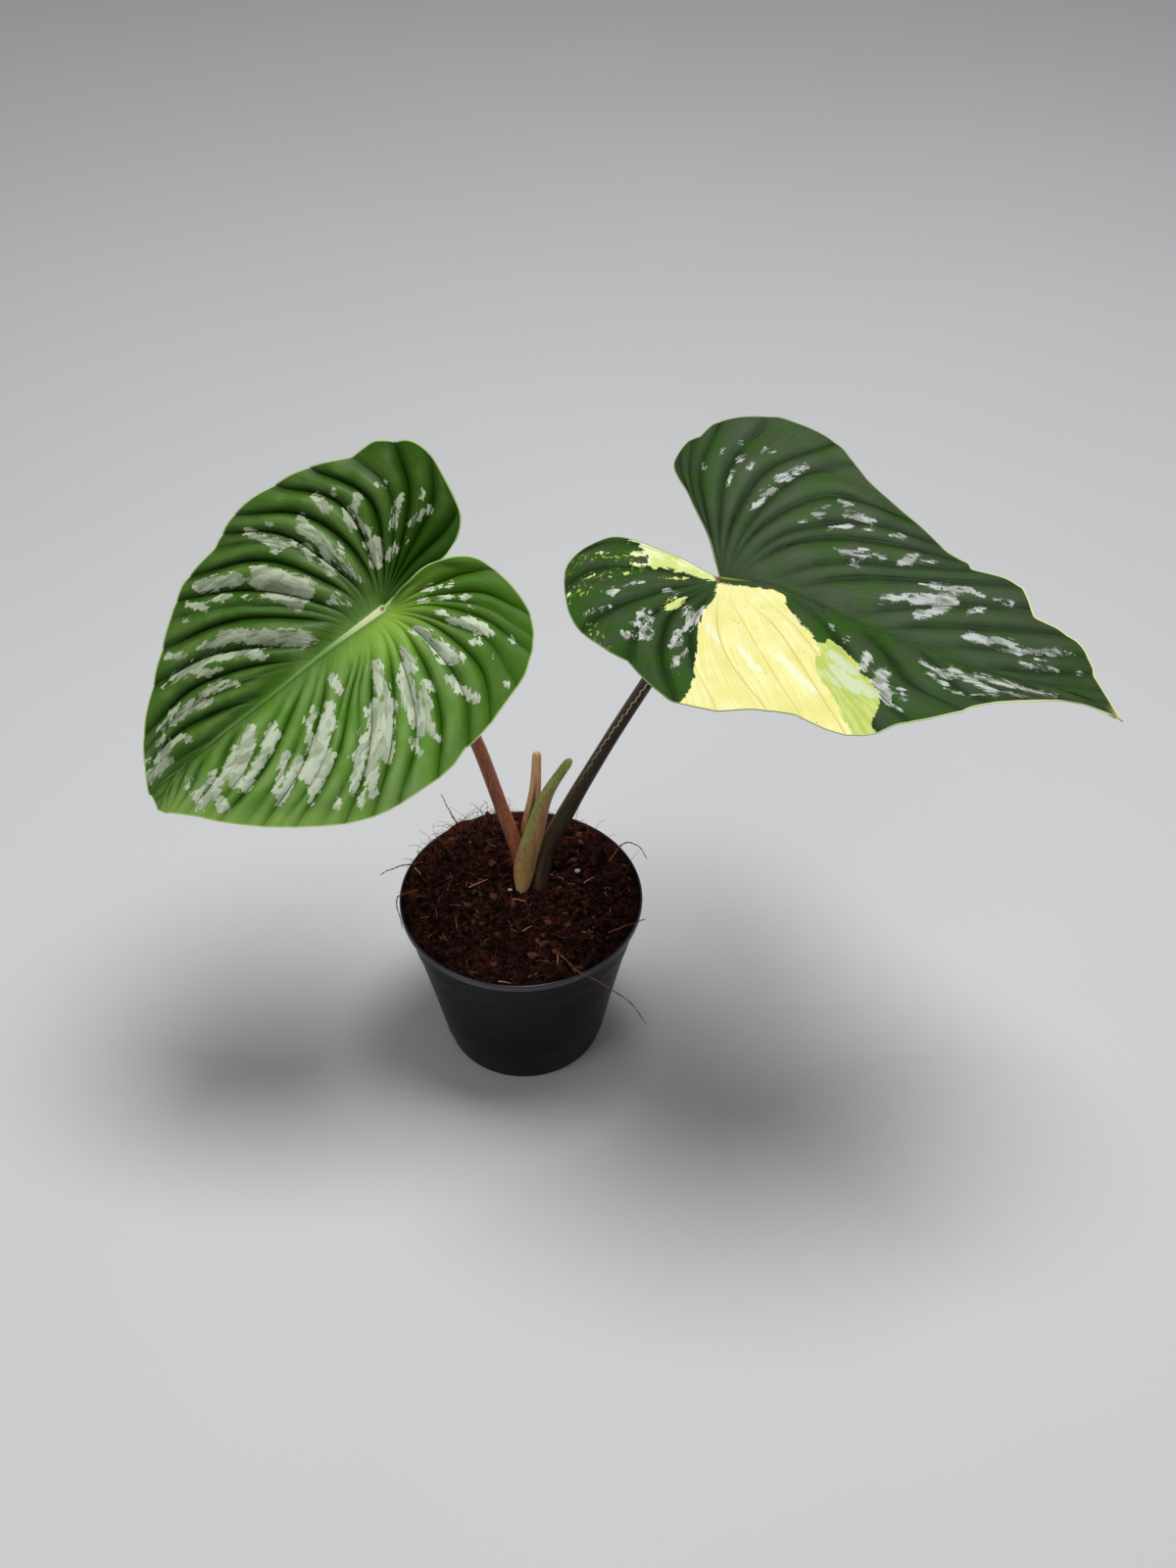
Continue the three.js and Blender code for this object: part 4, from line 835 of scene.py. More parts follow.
def finish_leaf(s, skin, line, ribs, rib_reach, rim_colour, rim_width, under_colours):
    """The midrib, margin, dark crease lines, underside and fine relief over the blade's colours; the crease
    lines are painted shade in the valleys, standing also for the sunken veins.

    line is a crease line's (colour, depth), and ribs the midrib's colour near the junction and far out.
    """
    rib_near, rib_far = ribs
    middle = s.field("middle")
    # a dark line down each crease: painted shade in the valley, standing also for the sunken vein
    crease_shade_line = s.times(s.step(s.crease, 0.05, 0.6, 1.0, 0.0), s.times(s.cut, line[1]))
    shown = s.step(s.away, 0.5 * rib_reach, 2.4 * rib_reach, 0.95, 0.3)
    midrib = s.times(s.step(s.plus(middle, s.times(s.fine, 0.4)), 0.0, 0.6), shown)
    skin = s.layers(
        skin, (crease_shade_line, line[0]), (midrib, s.mix(s.step(s.away, 3.0, rib_reach), rib_near, rib_far)),
        (s.step(s.math("DIVIDE", s.field("rim"), rim_width), 0.45, 1.0, 0.95, 0.0), rim_colour),
        (s.step(s.away, 0.5, 1.6, 0.8, 0.0), (150, 70, 44)),
    )
    below = s.mix(s.step(s.plus(s.times(s.cloud, 0.7), s.times(s.fine, 0.4)), 0.4, 0.7), *under_colours)
    below = s.layers(
        below, (s.times(s.step(s.crease, 0.4, 1.3, 0.6, 0.0), s.cut), rib_far),
        (s.step(middle, -0.3, 0.4), rib_far),
    )
    s.set("Base Color", s.mix(s.field("under"), skin, below))
    s.set("Roughness", s.plus(s.times(s.splash, 0.06), s.step(s.fine, 0.3, 0.7, 0.36, 0.44)))
    s.bump(s.plus(s.times(s.fine, 0.8), s.times(s.cloud, 0.5)), 0.0009, 0.4)
    return s.material


def left_leaf_material():
    s = leaf_material(
        LEFT,
        # the upper (minus) half's greens and silvers are a darker copy of the lower (plus) half's: painted
        # shade on the half that tilts away from the light, painted light on the half that faces it
        ((28, 56, 4), (92, 126, 52), (18, 46, 0), (56, 98, 12), (128, 138, 112), (176, 187, 156)),
        ((66, 110, 22), (130, 166, 86), (44, 92, 2), (98, 148, 44), (162, 173, 144), (208, 217, 190)),
        0.2, 0.8, 0.5,
    )
    glow = s.times(s.step(s.away, 4.0, 36.0, 0.7, 0.0), s.step(s.part(s.flat, 1), -4.0, 6.0))
    # of the two lobes, the one beside the cleft is painted a deeper green, painted shade where it faces away
    # from the light; the right one is a deeper green towards its margin
    along_veins, outward = s.part(s.grain), s.part(s.grain, 1)
    shaded_lobe = s.times(s.step(along_veins, 8.0, 38.0, 1.0, 0.0), s.step(outward, -8.0, -4.5, 1.0, 0.0))
    right_lobe = s.times(s.step(along_veins, 14.0, 46.0, 1.0, 0.0), s.step(outward, 8.0, 40.0, 0.0, 0.75))
    # the lower half is paler towards its margin, painted light where that half faces the light
    edge = s.times(s.step(s.field("rim"), 0.5, 12.0, 0.45, 0.0), s.step(outward, 20.0, 50.0))
    body = s.layers(
        s.body, (glow, (146, 190, 52)), (s.times(shaded_lobe, s.step(s.away, 22.0, 80.0, 0.85, 0.45)), (24, 58, 0)),
        (right_lobe, (58, 96, 8)), (s.times(edge, s.step(along_veins, 40.0, 60.0)), (146, 180, 84)),
    )
    s.set("Specular IOR Level", s.step(s.math("MAXIMUM", shaded_lobe, right_lobe), 0.0, 1.0, 0.2, 0.07))
    return finish_leaf(
        # the crease lines are darker on the upper half, painted shade there
        s, s.mix(s.splash, body, s.shine), ((18, 38, 2), s.step(s.half, 0.0, 1.0, 0.6, 0.36)),
        ((226, 238, 180), (126, 162, 88)), 34.0, (176, 198, 128), 0.75, ((112, 142, 74), (142, 168, 104)),
    )


def right_leaf_material():
    s = leaf_material(
        RIGHT,
        ((31, 51, 20), (62, 82, 48), (24, 46, 12), (46, 86, 18), (134, 138, 127), (196, 199, 191)),
        ((31, 49, 21), (66, 82, 52), (24, 44, 14), (46, 83, 20), (132, 136, 128), (194, 197, 192)),
        0.07, 4.4, 0.56,
    )
    ahead, along_veins = s.part(s.flat), s.part(s.grain)
    # the pale sector: its own ragged edge, mint patches where a splash crosses it, and the lime part
    in_sector = s.step(along_veins, 20.0, 24.0)
    raggedness = s.step(in_sector, 0.0, 1.0, 1.0, 0.6)
    pale = s.step(s.plus(s.field("yellow"), s.times(s.torn, raggedness)), -0.06, 0.12)
    veil = s.step(s.plus(s.times(s.cloud, 0.6), s.times(s.fine, 0.5)), 0.4, 0.75)
    threads = s.step(s.noise(s.stretched(s.grain, 3.2, 0.03), 1.0, 2.0), 0.5, 0.62, 0.0, 0.3)
    streaks = s.step(s.noise(s.stretched(s.grain, 1.1, 0.12), 1.0, 3.0, 0.6), 0.4, 0.62)
    lime = s.mix(streaks, (204, 214, 118), (178, 199, 104))
    lime = s.mix(s.times(s.splash, 0.85), lime, (208, 220, 184))
    mint = s.layers(
        s.mix(veil, (234, 228, 142), (246, 242, 180)), (threads, (216, 206, 112)),
        (s.times(s.splash, 0.75), (240, 244, 210)),
        (s.step(s.plus(s.field("lime"), s.times(s.torn, 0.6)), -0.1, 0.15), lime),
    )
    strip = s.mix(s.step(s.cloud, 0.44, 0.56), (206, 222, 128), (232, 238, 182))
    # a few small brown specks
    specks = s.step(s.cells(s.flat, 0.19, "Distance"), 0.05, 0.08, 0.7, 0.0)
    mint = s.mix(specks, s.mix(in_sector, strip, mint), (150, 128, 62))
    flecks = s.step(s.noise(s.stretched(s.grain, 2.2, 0.35), 1.0, 3.0, 0.65), 0.56, 0.62)
    skin = s.layers(
        s.body, (s.step(ahead, 60.0, 130.0, 0.0, 0.25), (64, 76, 56)), (s.splash, s.shine),
        (s.times(flecks, s.step(s.field("mottle"), 0.0, 3.0, 0.0, 0.85)), (164, 186, 64)), (pale, mint),
        (s.times(s.step(ahead, 167.0, 176.0), 0.85), (196, 198, 118)),
    )
    # the crease lines, olive-yellow across the pale sector: painted shade in the valleys, standing also for
    # the sunken veins
    crease_shade_line = s.mix(pale, (16, 28, 12), (198, 192, 102)), s.step(pale, 0.0, 1.0, 0.36, 0.8)
    rim_colour = s.mix(s.step(ahead, 40.0, 130.0), (130, 148, 96), (228, 232, 158))
    return finish_leaf(
        s, skin, crease_shade_line, ((128, 158, 62), (38, 60, 26)), 16.0, rim_colour,
        s.step(ahead, 60.0, 150.0, 0.55, 0.9), ((80, 106, 64), (106, 130, 88)),
    )


# Stalks and sheaths
STALK_STEPS = 460
STALK_SIDES = 72
# Where the right stalk's ridge line runs: (part of the way up, part of a turn)
CREST_TURNS = [(0, 0.57), (0.4, 0.555), (0.47, 0.62), (0.57, 0.625), (0.66, 0.68), (0.72, 0.715), (1, 0.74)]
CREST_SWAY = 0.015
CREST_PERIODS = (3.3, 7.1)
CREST_WIDTH = 0.012
RIDGE_HEIGHT = 0.4
END_SWELLING = 0.5
UNDER_JUNCTION = 2.2
SHEATH_STEPS = 120
SHEATH_ACROSS = 25
LEFT_RADII = [(0, 3.6), (0.6, 3.4), (1, 2.9)]
RIGHT_RADII = [(0, 4.4), (0.4, 4.2), (0.57, 3.4), (1, 2.9)]


def stalk_piece(name, node, material, route, plan, radii, ridge=0.0):
    top = np.asarray(plan["junction"], float) - UNDER_JUNCTION * unit(plan["normal"])
    centres = route_points([*route, tuple(top)], STALK_STEPS)
    turn = np.arange(STALK_SIDES) / STALK_SIDES
    wheel = np.stack([np.cos(turn * 2 * math.pi), np.sin(turn * 2 * math.pi)], 1)
    length = np.linalg.norm(np.diff(centres, axis=0), axis=1).sum()

    def crest(t, around):
        """The thin wavy ridge line that runs up a stalk."""
        short, long = (np.sin(t * length * 2 * math.pi / period) for period in CREST_PERIODS)
        away = around - np.interp(t, *zip(*CREST_TURNS)) - CREST_SWAY * (short + 0.6 * long)
        return np.exp(-((away / CREST_WIDTH) ** 2)) * smooth(0.2, 0.6, t) if ridge else 0 * around

    def section(t):
        radius = float(np.interp(t, *zip(*radii))) + END_SWELLING * float(smooth(0.94, 1, t))
        radius = radius * math.sqrt(max(0.02, 1 - max(0, (t - 0.99) / 0.01) ** 2 * 0.9))
        lumps = value_noise(np.column_stack([wheel, np.full_like(turn, t * 9)]), 0.9, 4) - 0.5
        around = radius * (1 + 0.08 * lumps) + ridge * crest(t, turn)
        return wheel * around[:, None] * (1, -1)

    points, faces, along, around = sweep(centres, section)
    fields = {"along": along, "around": around, "crest": crest(along, around)}
    return add_piece(name, points, faces, material, [node], fields)


def sheath_piece(name, node, material, route, half_width, depth, taper, wall, curl, foot):
    """A sheath leaf: a crescent section that narrows to a soft point and closes on itself at the foot."""
    centres = route_points(route, SHEATH_STEPS)
    x = np.linspace(-1, 1, SHEATH_ACROSS)

    def section(t):
        widening = foot + (1 - foot) * float(smooth(0.14, 0.38, t))
        tip = math.sqrt(max(0.0, 1 - max(0.0, (t - 0.96) / 0.04) ** 2)) * 0.85 + 0.15
        scale = widening * (1 - taper * float(smooth(0.45, 1, t))) * tip
        bow = depth * (1 - x * x) * scale * (1 + curl * t)
        half_wall = 0.5 * wall * (1 - 0.65 * x * x) * (0.45 + 0.55 * tip)
        seam = 0.12 * np.cos(x * 22) * (1 - t)
        across = half_width * scale * x
        outer = np.stack([across, bow + half_wall + seam * 0.6], 1)
        inner = np.stack([across, bow - half_wall], 1)[::-1]
        return np.concatenate([outer, inner])

    points, faces, along, _ = sweep(centres, section)
    sideways = np.append(np.tile(np.concatenate([x, x[::-1]]), len(centres)), (0, 0))
    fields = {"along": along, "sideways": sideways}
    return add_piece(name, points, faces, material, [node], fields)


def left_stalk_material():
    s = Shader("left_stalk", 0.42, 0.45)
    along, place = s.field("along"), s.place()
    streak = s.noise(s.stretched(place, 900, 900, 60), 1.0, 3.0)
    fleck = s.noise(s.stretched(place, 700, 700, 380), 1.0, 2.0)
    s.set("Base Color", s.layers(
        s.streaked(streak, (134, 70, 42), (176, 104, 68)),
        (s.step(along, 0.25, 0.0, 0.0, 0.55), (150, 112, 66)),
        (s.step(fleck, 0.62, 0.72, 0.0, 0.5), (190, 132, 96)),
        (s.step(along, 0.86, 1.0, 0.0, 0.8), (128, 142, 62)),
    ))
    s.bump(s.plus(streak, fleck), 0.0003, 0.4)
    return s.material


def right_stalk_material():
    s = Shader("right_stalk", 0.42, 0.3)
    around, along = s.field("around"), s.field("along")
    streak = s.noise(s.stretched(s.place(), 900, 900, 70), 1.0, 3.0)
    olive = s.times(s.step(around, 0.36, 0.5), s.step(around, 0.8, 0.64))
    ridge = s.times(s.step(s.field("crest"), 0.2, 0.6), s.step(along, 0.4, 0.66, 0.3, 0.95))
    s.set("Base Color", s.layers(
        s.streaked(streak, (32, 18, 10), (64, 42, 25)), (s.times(olive, 0.55), (78, 66, 34)),
        (ridge, s.mix(s.step(along, 0.4, 0.62), (116, 110, 70), (226, 208, 168))),
        (s.step(along, 0.93, 1.0, 0.0, 0.7), (120, 130, 60)),
    ))
    s.bump(streak, 0.0004, 0.4)
    return s.material


def green_sheath_material():
    s = Shader("green_sheath", 0.42, 0.45)
    along, sideways = s.field("along"), s.field("sideways")
    streak = s.noise(s.stretched(s.place(), 1400, 1400, 70), 1.0, 3.0)
    edge = s.times(s.step(sideways, 0.0, -0.7), s.step(along, 0.42, 0.62))
    green = s.math("MAXIMUM", edge, s.step(along, 0.7, 0.96))
    s.set("Base Color", s.layers(
        s.streaked(streak, (160, 118, 56), (200, 158, 92)),
        (s.step(along, 0.3, 0.55), s.streaked(streak, (160, 116, 70), (200, 154, 106))),
        (green, s.streaked(streak, (122, 138, 52), (172, 184, 92))),
        # paler towards the foot: a cream base, made lighter still as painted light against the shade the
        # blades cast there
        (s.step(along, 0.42, 0.05, 0.0, 0.9), (240, 204, 142)),
    ))
    s.bump(streak, 0.0006, 0.5)
    return s.material


def dry_sheath_material():
    s = Shader("dry_sheath", 0.55, 0.35)
    along, sideways = s.field("along"), s.field("sideways")
    streak = s.noise(s.stretched(s.place(), 1800, 1800, 60), 1.0, 4.0)
    hollow = s.step(s.math("ABSOLUTE", s.plus(sideways, 0.05)), 0.45, 0.1)
    hollow = s.times(hollow, s.step(along, 0.9, 0.7))
    s.set("Base Color", s.layers(
        s.streaked(streak, (150, 84, 46), (222, 140, 80)),
        # the upper part is pale orange, its own dry colour, brightened as painted light for the lit,
        # translucent tip
        (s.step(along, 0.45, 0.8), s.streaked(streak, (252, 176, 112), (255, 224, 180))),
        (s.times(hollow, 0.8), (98, 54, 34)), (s.times(s.step(sideways, 0.3, 0.8), 0.6), (255, 150, 76)),
    ))
    s.bump(streak, 0.0007, 0.6)
    return s.material


# The pot
def pot_radius(z):
    return BASE_RADIUS + (RIM_RADIUS - LIP_WIDTH - BASE_RADIUS) * z / (POT_HEIGHT - LIP_HEIGHT)


def turned(profile, sides):
    """The points and faces of a closed solid made by turning a closed profile of (radius, height)."""
    turn = np.arange(sides) * 2 * math.pi / sides
    rows = [np.stack([r * np.cos(turn), r * np.sin(turn), np.full_like(turn, z)], 1) for r, z in profile]
    points = np.concatenate(rows)
    faces = strips(len(rows), sides, True).tolist()
    last = (len(rows) - 1) * sides
    for i in range(sides):
        j = (i + 1) % sides
        faces.append((last + i, last + j, j, i))
    return points, np.array(faces)


def pot_floor():
    """The floor plate: eight parts round a middle disc, each part with a drain hole."""
    outer, sides, stride = BASE_RADIUS - 0.8, 32, 0.25
    middle = np.array([DRAIN_HOLE_AT, 0])
    points, faces = [], []
    for level, up in ((FLOOR_UNDER, False), (POT_FLOOR, True)):
        for k in range(DRAIN_HOLES):
            turn = 2 * math.pi * k / DRAIN_HOLES
            start = len(points)
            for n in range(sides):
                a = 2 * math.pi * n / sides
                way = np.array([math.cos(a), math.sin(a)])
                # the way out from the hole until it meets the part's edge
                reach = 0.0
                inside = True
                while inside:
                    reach += stride
                    at = middle + way * reach
                    radius, angle = math.hypot(*at), abs(math.atan2(at[1], at[0]))
                    inside = FLOOR_MIDDLE < radius < outer and angle < math.pi / DRAIN_HOLES
                for far in (DRAIN_HOLE_RADIUS, reach):
                    x, y = middle + way * far
                    cos, sin = math.cos(turn), math.sin(turn)
                    points.append((x * cos - y * sin, x * sin + y * cos, level))
            for n in range(sides):
                m = (n + 1) % sides
                quad = (start + 2 * n, start + 2 * n + 1, start + 2 * m + 1, start + 2 * m)
                faces.append(quad if up else quad[::-1])
    half = len(points) // 2
    for k in range(DRAIN_HOLES):
        for n in range(sides):
            m = (n + 1) % sides
            a, b = k * sides * 2 + 2 * n, k * sides * 2 + 2 * m
            faces.append((a, b, b + half, a + half))
    # the middle disc
    first, disc_sides, disc_radius = len(points), 48, FLOOR_MIDDLE + 0.6
    ring = np.arange(disc_sides) * 2 * math.pi / disc_sides
    for level in (FLOOR_UNDER, POT_FLOOR):
        points.extend((disc_radius * math.cos(a), disc_radius * math.sin(a), level) for a in ring)
    faces.append(tuple(range(first + disc_sides, first + 2 * disc_sides)))
    faces.append(tuple(range(first + disc_sides - 1, first - 1, -1)))
    return np.array(points), faces


def pot_piece():
    lip_low = POT_HEIGHT - LIP_HEIGHT
    top = pot_radius(lip_low)
    profile = [
        (BASE_RADIUS - 2.2, 0), (BASE_RADIUS - 0.7, 0.2), (BASE_RADIUS - 0.1, 0.9),
        (pot_radius(8), 8), (pot_radius(8.6) + GROOVE, 8.6), (pot_radius(30), 30), (pot_radius(52), 52),
        (pot_radius(70), 70), (pot_radius(71), 71), (pot_radius(71.8) + 0.5, 71.8),
        (pot_radius(80) + 0.45, 80), (top + 0.1, lip_low - 0.4), (top + 0.5, lip_low),
        (RIM_RADIUS - 0.5, lip_low + 0.1), (RIM_RADIUS - 0.08, lip_low + 0.6), (RIM_RADIUS, lip_low + 1.2),
        (RIM_RADIUS - 0.03, POT_HEIGHT - 0.6), (RIM_RADIUS - 0.25, POT_HEIGHT - 0.15),
        (RIM_RADIUS - 0.6, POT_HEIGHT), (RIM_RADIUS - 0.95, POT_HEIGHT - 0.12),
        (RIM_RADIUS - 1.2, POT_HEIGHT - 0.5), (RIM_RADIUS - 1.3, POT_HEIGHT - 1.4),
        (RIM_RADIUS - 1.5, lip_low + 0.6), (top - POT_WALL + 0.2, lip_low - 1.5),
        (pot_radius(60) - POT_WALL, 60), (pot_radius(POT_FLOOR) - POT_WALL, POT_FLOOR),
        (BASE_RADIUS - 2.6, POT_FLOOR), (BASE_RADIUS - 2.6, FLOOR_UNDER),
    ]
    points, faces = turned(profile, POT_SIDES)
    floor_points, floor_faces = pot_floor()
    faces = faces.tolist() + [[i + len(points) for i in f] for f in floor_faces]
    wobble = POT_WOBBLE * np.cos(2 * np.arctan2(points[:, 1], points[:, 0]) + 0.6)
    wobble = wobble * smooth(40, 95, points[:, 2])
    points[:, :2] *= (1 + wobble / RIM_RADIUS)[:, None]
    points = np.concatenate([points, floor_points])
    return add_piece("pot", points, faces, pot_material(), ["nursery_pot"])


def pot_material():
    s = Shader("pot_plastic", 0.34, 0.3)
    place = s.place()
    scuff = s.noise(s.stretched(place, 60, 60, 240), 1.0, 4.0)
    dust = s.noise(place, 420.0, 3.0)
    # the lip: its lighter violet-grey is a painted highlight along the rim, and it is made glossier there
    lip = s.step(s.part(place, 2), 0.0912, 0.0918)
    s.set("Base Color", s.layers(
        s.mix(s.step(scuff, 0.35, 0.7), (3, 3, 4), (7, 7, 9)),
        (s.step(dust, 0.64, 0.76, 0.0, 0.2), (40, 36, 34)), (lip, (44, 38, 50)),
    ))
    s.set("Specular IOR Level", s.step(lip, 0.0, 1.0, 0.1, 0.6))
    s.set("Roughness", s.times(s.step(lip, 0.0, 1.0, 1.0, 0.6), s.step(scuff, 0.3, 0.7, 0.36, 0.44)))
    s.bump(scuff, 0.0005, 0.15)
    return s.material


# The soil
SOIL_RADIUS = 58.4
SOIL_RINGS = 150
SOIL_SIDES = 300
SOIL_WALL_GAP = 1.7
COMMON_SHARE = 0.88
CRUMBS = 1150
CRUMB_REACH = 56.5
STRANDS = 620
STRAND_REACH = 54
STRAND_HINT = (0.1, 0.2, 1)
STRAW_THICK = 0.42
FUZZ = 260
FUZZ_BAND = (48, 56)
FUZZ_INSIDE = 58
FUZZ_FREE_FROM = 95.6
FIBRE_STEPS = 60
FIBRE_THICK = 0.42
FIBRE_SWAY = 0.25
GRAIN_SHAPE = (1.5, 1.0, 1.0)
SMALL_GRAIN = 0.75


def soil_height(x, y):
    out = np.hypot(x, y)
    heap = 3.2 * np.exp(-(((x + 26) / 22) ** 2) - ((y - 46) / 10) ** 2)
    base = 94.0 + 2.0 * (1 - (out / 60) ** 2) + 1.5 * y / 60 + heap
    return base + 0.6 * np.sin(0.31 * x + 1) * np.sin(0.27 * y) + 0.36 * np.sin(0.71 * x - 0.53 * y)


def soil_surface(x, y):
    flat = np.stack([x, y], 1)
    rough = 2.8 * (fractal(flat, 9, 31) - 0.5) + 2.6 * (fractal(flat, 2.8, 37) - 0.5)
    rough = rough + 1.5 * (fractal(flat, 1.2, 41, 2) - 0.5)
    edge = 1 - 0.7 * smooth(52, 58, np.hypot(x, y))
    return soil_height(x, y) - 0.4 + rough * edge


def icosphere():
    g = (1 + 5**0.5) / 2
    points = unit([
        (-1, g, 0), (1, g, 0), (-1, -g, 0), (1, -g, 0), (0, -1, g), (0, 1, g),
        (0, -1, -g), (0, 1, -g), (g, 0, -1), (g, 0, 1), (-g, 0, -1), (-g, 0, 1),
    ])
    faces = [
        (0, 11, 5), (0, 5, 1), (0, 1, 7), (0, 7, 10), (0, 10, 11), (1, 5, 9), (5, 11, 4), (11, 10, 2),
        (10, 7, 6), (7, 1, 8), (3, 9, 4), (3, 4, 2), (3, 2, 6), (3, 6, 8), (3, 8, 9), (4, 9, 5), (2, 4, 11),
        (6, 2, 10), (8, 6, 7), (9, 8, 1),
    ]
    return points, faces


def finer(points, faces):
    points = points.tolist()
    made = {}

    def between(i, j):
        key = (min(i, j), max(i, j))
        if key not in made:
            made[key] = len(points)
            points.append(unit(np.add(points[i], points[j])).tolist())
        return made[key]

    split = []
    for a, b, c in faces:
        ab, bc, ca = between(a, b), between(b, c), between(c, a)
        split += [(a, ab, ca), (b, bc, ab), (c, ca, bc), (ab, bc, ca)]
    return np.array(points), split


def soil_piece(material):
    rng = np.random.default_rng(5)
    sides = SOIL_SIDES
    turn = np.arange(sides) * 2 * math.pi / sides
    points = [np.array([[0, 0, soil_surface(np.zeros(1), np.zeros(1))[0]]])]
    for k in range(1, SOIL_RINGS + 1):
        radius = SOIL_RADIUS * (k / SOIL_RINGS) ** 0.8
        x, y = radius * np.cos(turn), radius * np.sin(turn)
        points.append(np.stack([x, y, soil_surface(x, y)], 1))
    for z in (86, 50, 3):
        radius = pot_radius(z) - SOIL_WALL_GAP
        points.append(np.stack([radius * np.cos(turn), radius * np.sin(turn), np.full(sides, z)], 1))
    faces = strips(SOIL_RINGS + 3, sides, True, 1).tolist()
    faces += [(0, 1 + i, 1 + (i + 1) % sides) for i in range(sides)]
    last = 1 + (SOIL_RINGS + 2) * sides
    faces.append(tuple(range(last + sides - 1, last - 1, -1)))
    ball, ball_faces = finer(*icosphere())
    used = last + sides
    tints = [np.zeros(used)]

    def add(new_points, new_faces, tint):
        nonlocal used
        points.append(new_points)
        tints.append(np.full(len(new_points), tint))
        faces.extend([tuple(i + used for i in f) for f in new_faces])
        used += len(new_points)

    # crumbs of peat and bark
    for n in range(CRUMBS):
        radius, angle = CRUMB_REACH * math.sqrt(rng.random()), rng.random() * 2 * math.pi
        x, y = radius * math.cos(angle), radius * math.sin(angle)
        size = 0.5 + 1.8 * rng.random() ** 2.6
        shape = ball * (1 + 1.1 * (value_noise(ball + n * 3.1, 0.85, 51)[:, None] - 0.5))
        shape = shape * size * np.array([1.15, 0.45 + 0.45 * rng.random(), 0.35 + 0.4 * rng.random()])
        spin = rng.random() * 2 * math.pi
        lean = (rng.random() - 0.5) * 1.4
        turned_x = shape[:, 0] * math.cos(spin) - shape[:, 1] * math.sin(spin)
        turned_y = shape[:, 0] * math.sin(spin) + shape[:, 1] * math.cos(spin)
        turned_z = shape[:, 2] + turned_x * lean * 0.5
        z = soil_surface(np.array([x]), np.array([y]))[0] + 0.12 * size
        tint = 1 if rng.random() < COMMON_SHARE else 2
        add(np.stack([turned_x + x, turned_y + y, turned_z + z], 1), ball_faces, tint)

    def strand(line, thick, tint):
        def section(t):
            return ring_of(thick * (1 - 0.5 * t), 5)

        made = sweep(np.asarray(line), section, STRAND_HINT)
        add(made[0], made[1], tint)

    # short strands of coir lying on the surface
    for _ in range(STRANDS):
        radius, angle = STRAND_REACH * math.sqrt(rng.random()), rng.random() * 2 * math.pi
        way = rng.random() * 2 * math.pi
        bend = (rng.random() - 0.5) * 0.3
        length = 2.5 + 8 * rng.random() ** 2
        at = np.array([radius * math.cos(angle), radius * math.sin(angle)])
        line = []
        for _ in range(9):
            line.append(at.copy())
            at = at + length / 8 * np.array([math.cos(way), math.sin(way)])
            way += bend
        line = np.array(line)
        if np.hypot(line[:, 0], line[:, 1]).max() > CRUMB_REACH:
            continue
        z = soil_surface(line[:, 0], line[:, 1]) + 0.15 + 0.35 * rng.random()
        z = np.convolve(np.pad(z, 1, "edge"), (0.25, 0.5, 0.25), "valid")
        z = z + rng.random() ** 2 * np.linspace(0, 1.2, 9)
        thick = 0.07 + 0.16 * rng.random() ** 2
        strand(np.column_stack([line, z]), thick, 3 if rng.random() < COMMON_SHARE else 4)
    for (x0, y0), (x1, y1) in STRAWS:
        part = np.linspace(0, 1, 7)
        x, y = x0 + (x1 - x0) * part, y0 + (y1 - y0) * part
        z = soil_surface(x, y).max() + 0.2 + 0.3 * part
        strand(np.stack([x, y + 0.3 * np.sin(3 * part), z], 1), STRAW_THICK, 4)
    # a fuzz of fine fibres that stand up along the back and left of the rim
    for n in range(FUZZ):
        spans = (95, 165) if n < 130 else (30, 215) if n < 220 else (0, 360)
        angle = math.radians(rng.uniform(*spans))
        way = angle + rng.uniform(-1.2, 1.2)
        at = np.array([math.cos(angle), math.sin(angle), 0]) * rng.uniform(*FUZZ_BAND)
        at[2] = soil_surface(at[:1], at[1:2])[0]
        rise, turn_by, length = rng.uniform(0.2, 1.3), rng.uniform(-0.35, 0.35), rng.uniform(4, 15)
        line = []
        for _ in range(10):
            line.append(at.copy())
            level = math.cos(rise)
            at = at + length / 9 * np.array([math.cos(way) * level, math.sin(way) * level, math.sin(rise)])
            way += turn_by
            rise -= rng.uniform(0.02, 0.24)
            out = math.hypot(at[0], at[1])
            if at[2] < FUZZ_FREE_FROM and out > FUZZ_INSIDE:
                at[:2] *= FUZZ_INSIDE / out
        strand(line, rng.uniform(0.08, 0.18), 3)
    fields = {"tint": np.concatenate(tints)}
    return add_piece("soil", np.concatenate(points), faces, material, ["potting_mix"], fields)


def soil_material():
    s = Shader("soil", 0.9, 0.06)
    place, tint = s.place(), s.field("tint")
    coarse = s.noise(place, 260.0, 4.0, 0.65)
    fine = s.noise(place, 1300.0, 3.0, 0.6)
    # tint counts up through peat, crumbs, bark, strands and straw
    s.set("Base Color", s.layers(
        s.mix(s.step(coarse, 0.42, 0.6), (12, 5, 5), (50, 24, 20)),
        (s.step(fine, 0.58, 0.7, 0.0, 0.6), (84, 46, 36)),
        (s.step(tint, 0.5, 1.0), s.mix(s.step(coarse, 0.4, 0.62), (28, 13, 12), (70, 36, 30))),
        (s.step(tint, 1.5, 2.0), s.streaked(fine, (78, 44, 34), (124, 76, 56))),
        (s.step(tint, 2.5, 3.0), s.streaked(coarse, (70, 34, 28), (128, 72, 56))),
        (s.step(tint, 3.5, 4.0), s.streaked(fine, (168, 112, 82), (206, 152, 118))),
    ))
    s.bump(s.plus(coarse, s.times(fine, 0.6)), 0.0012, 0.8)
    return s.material


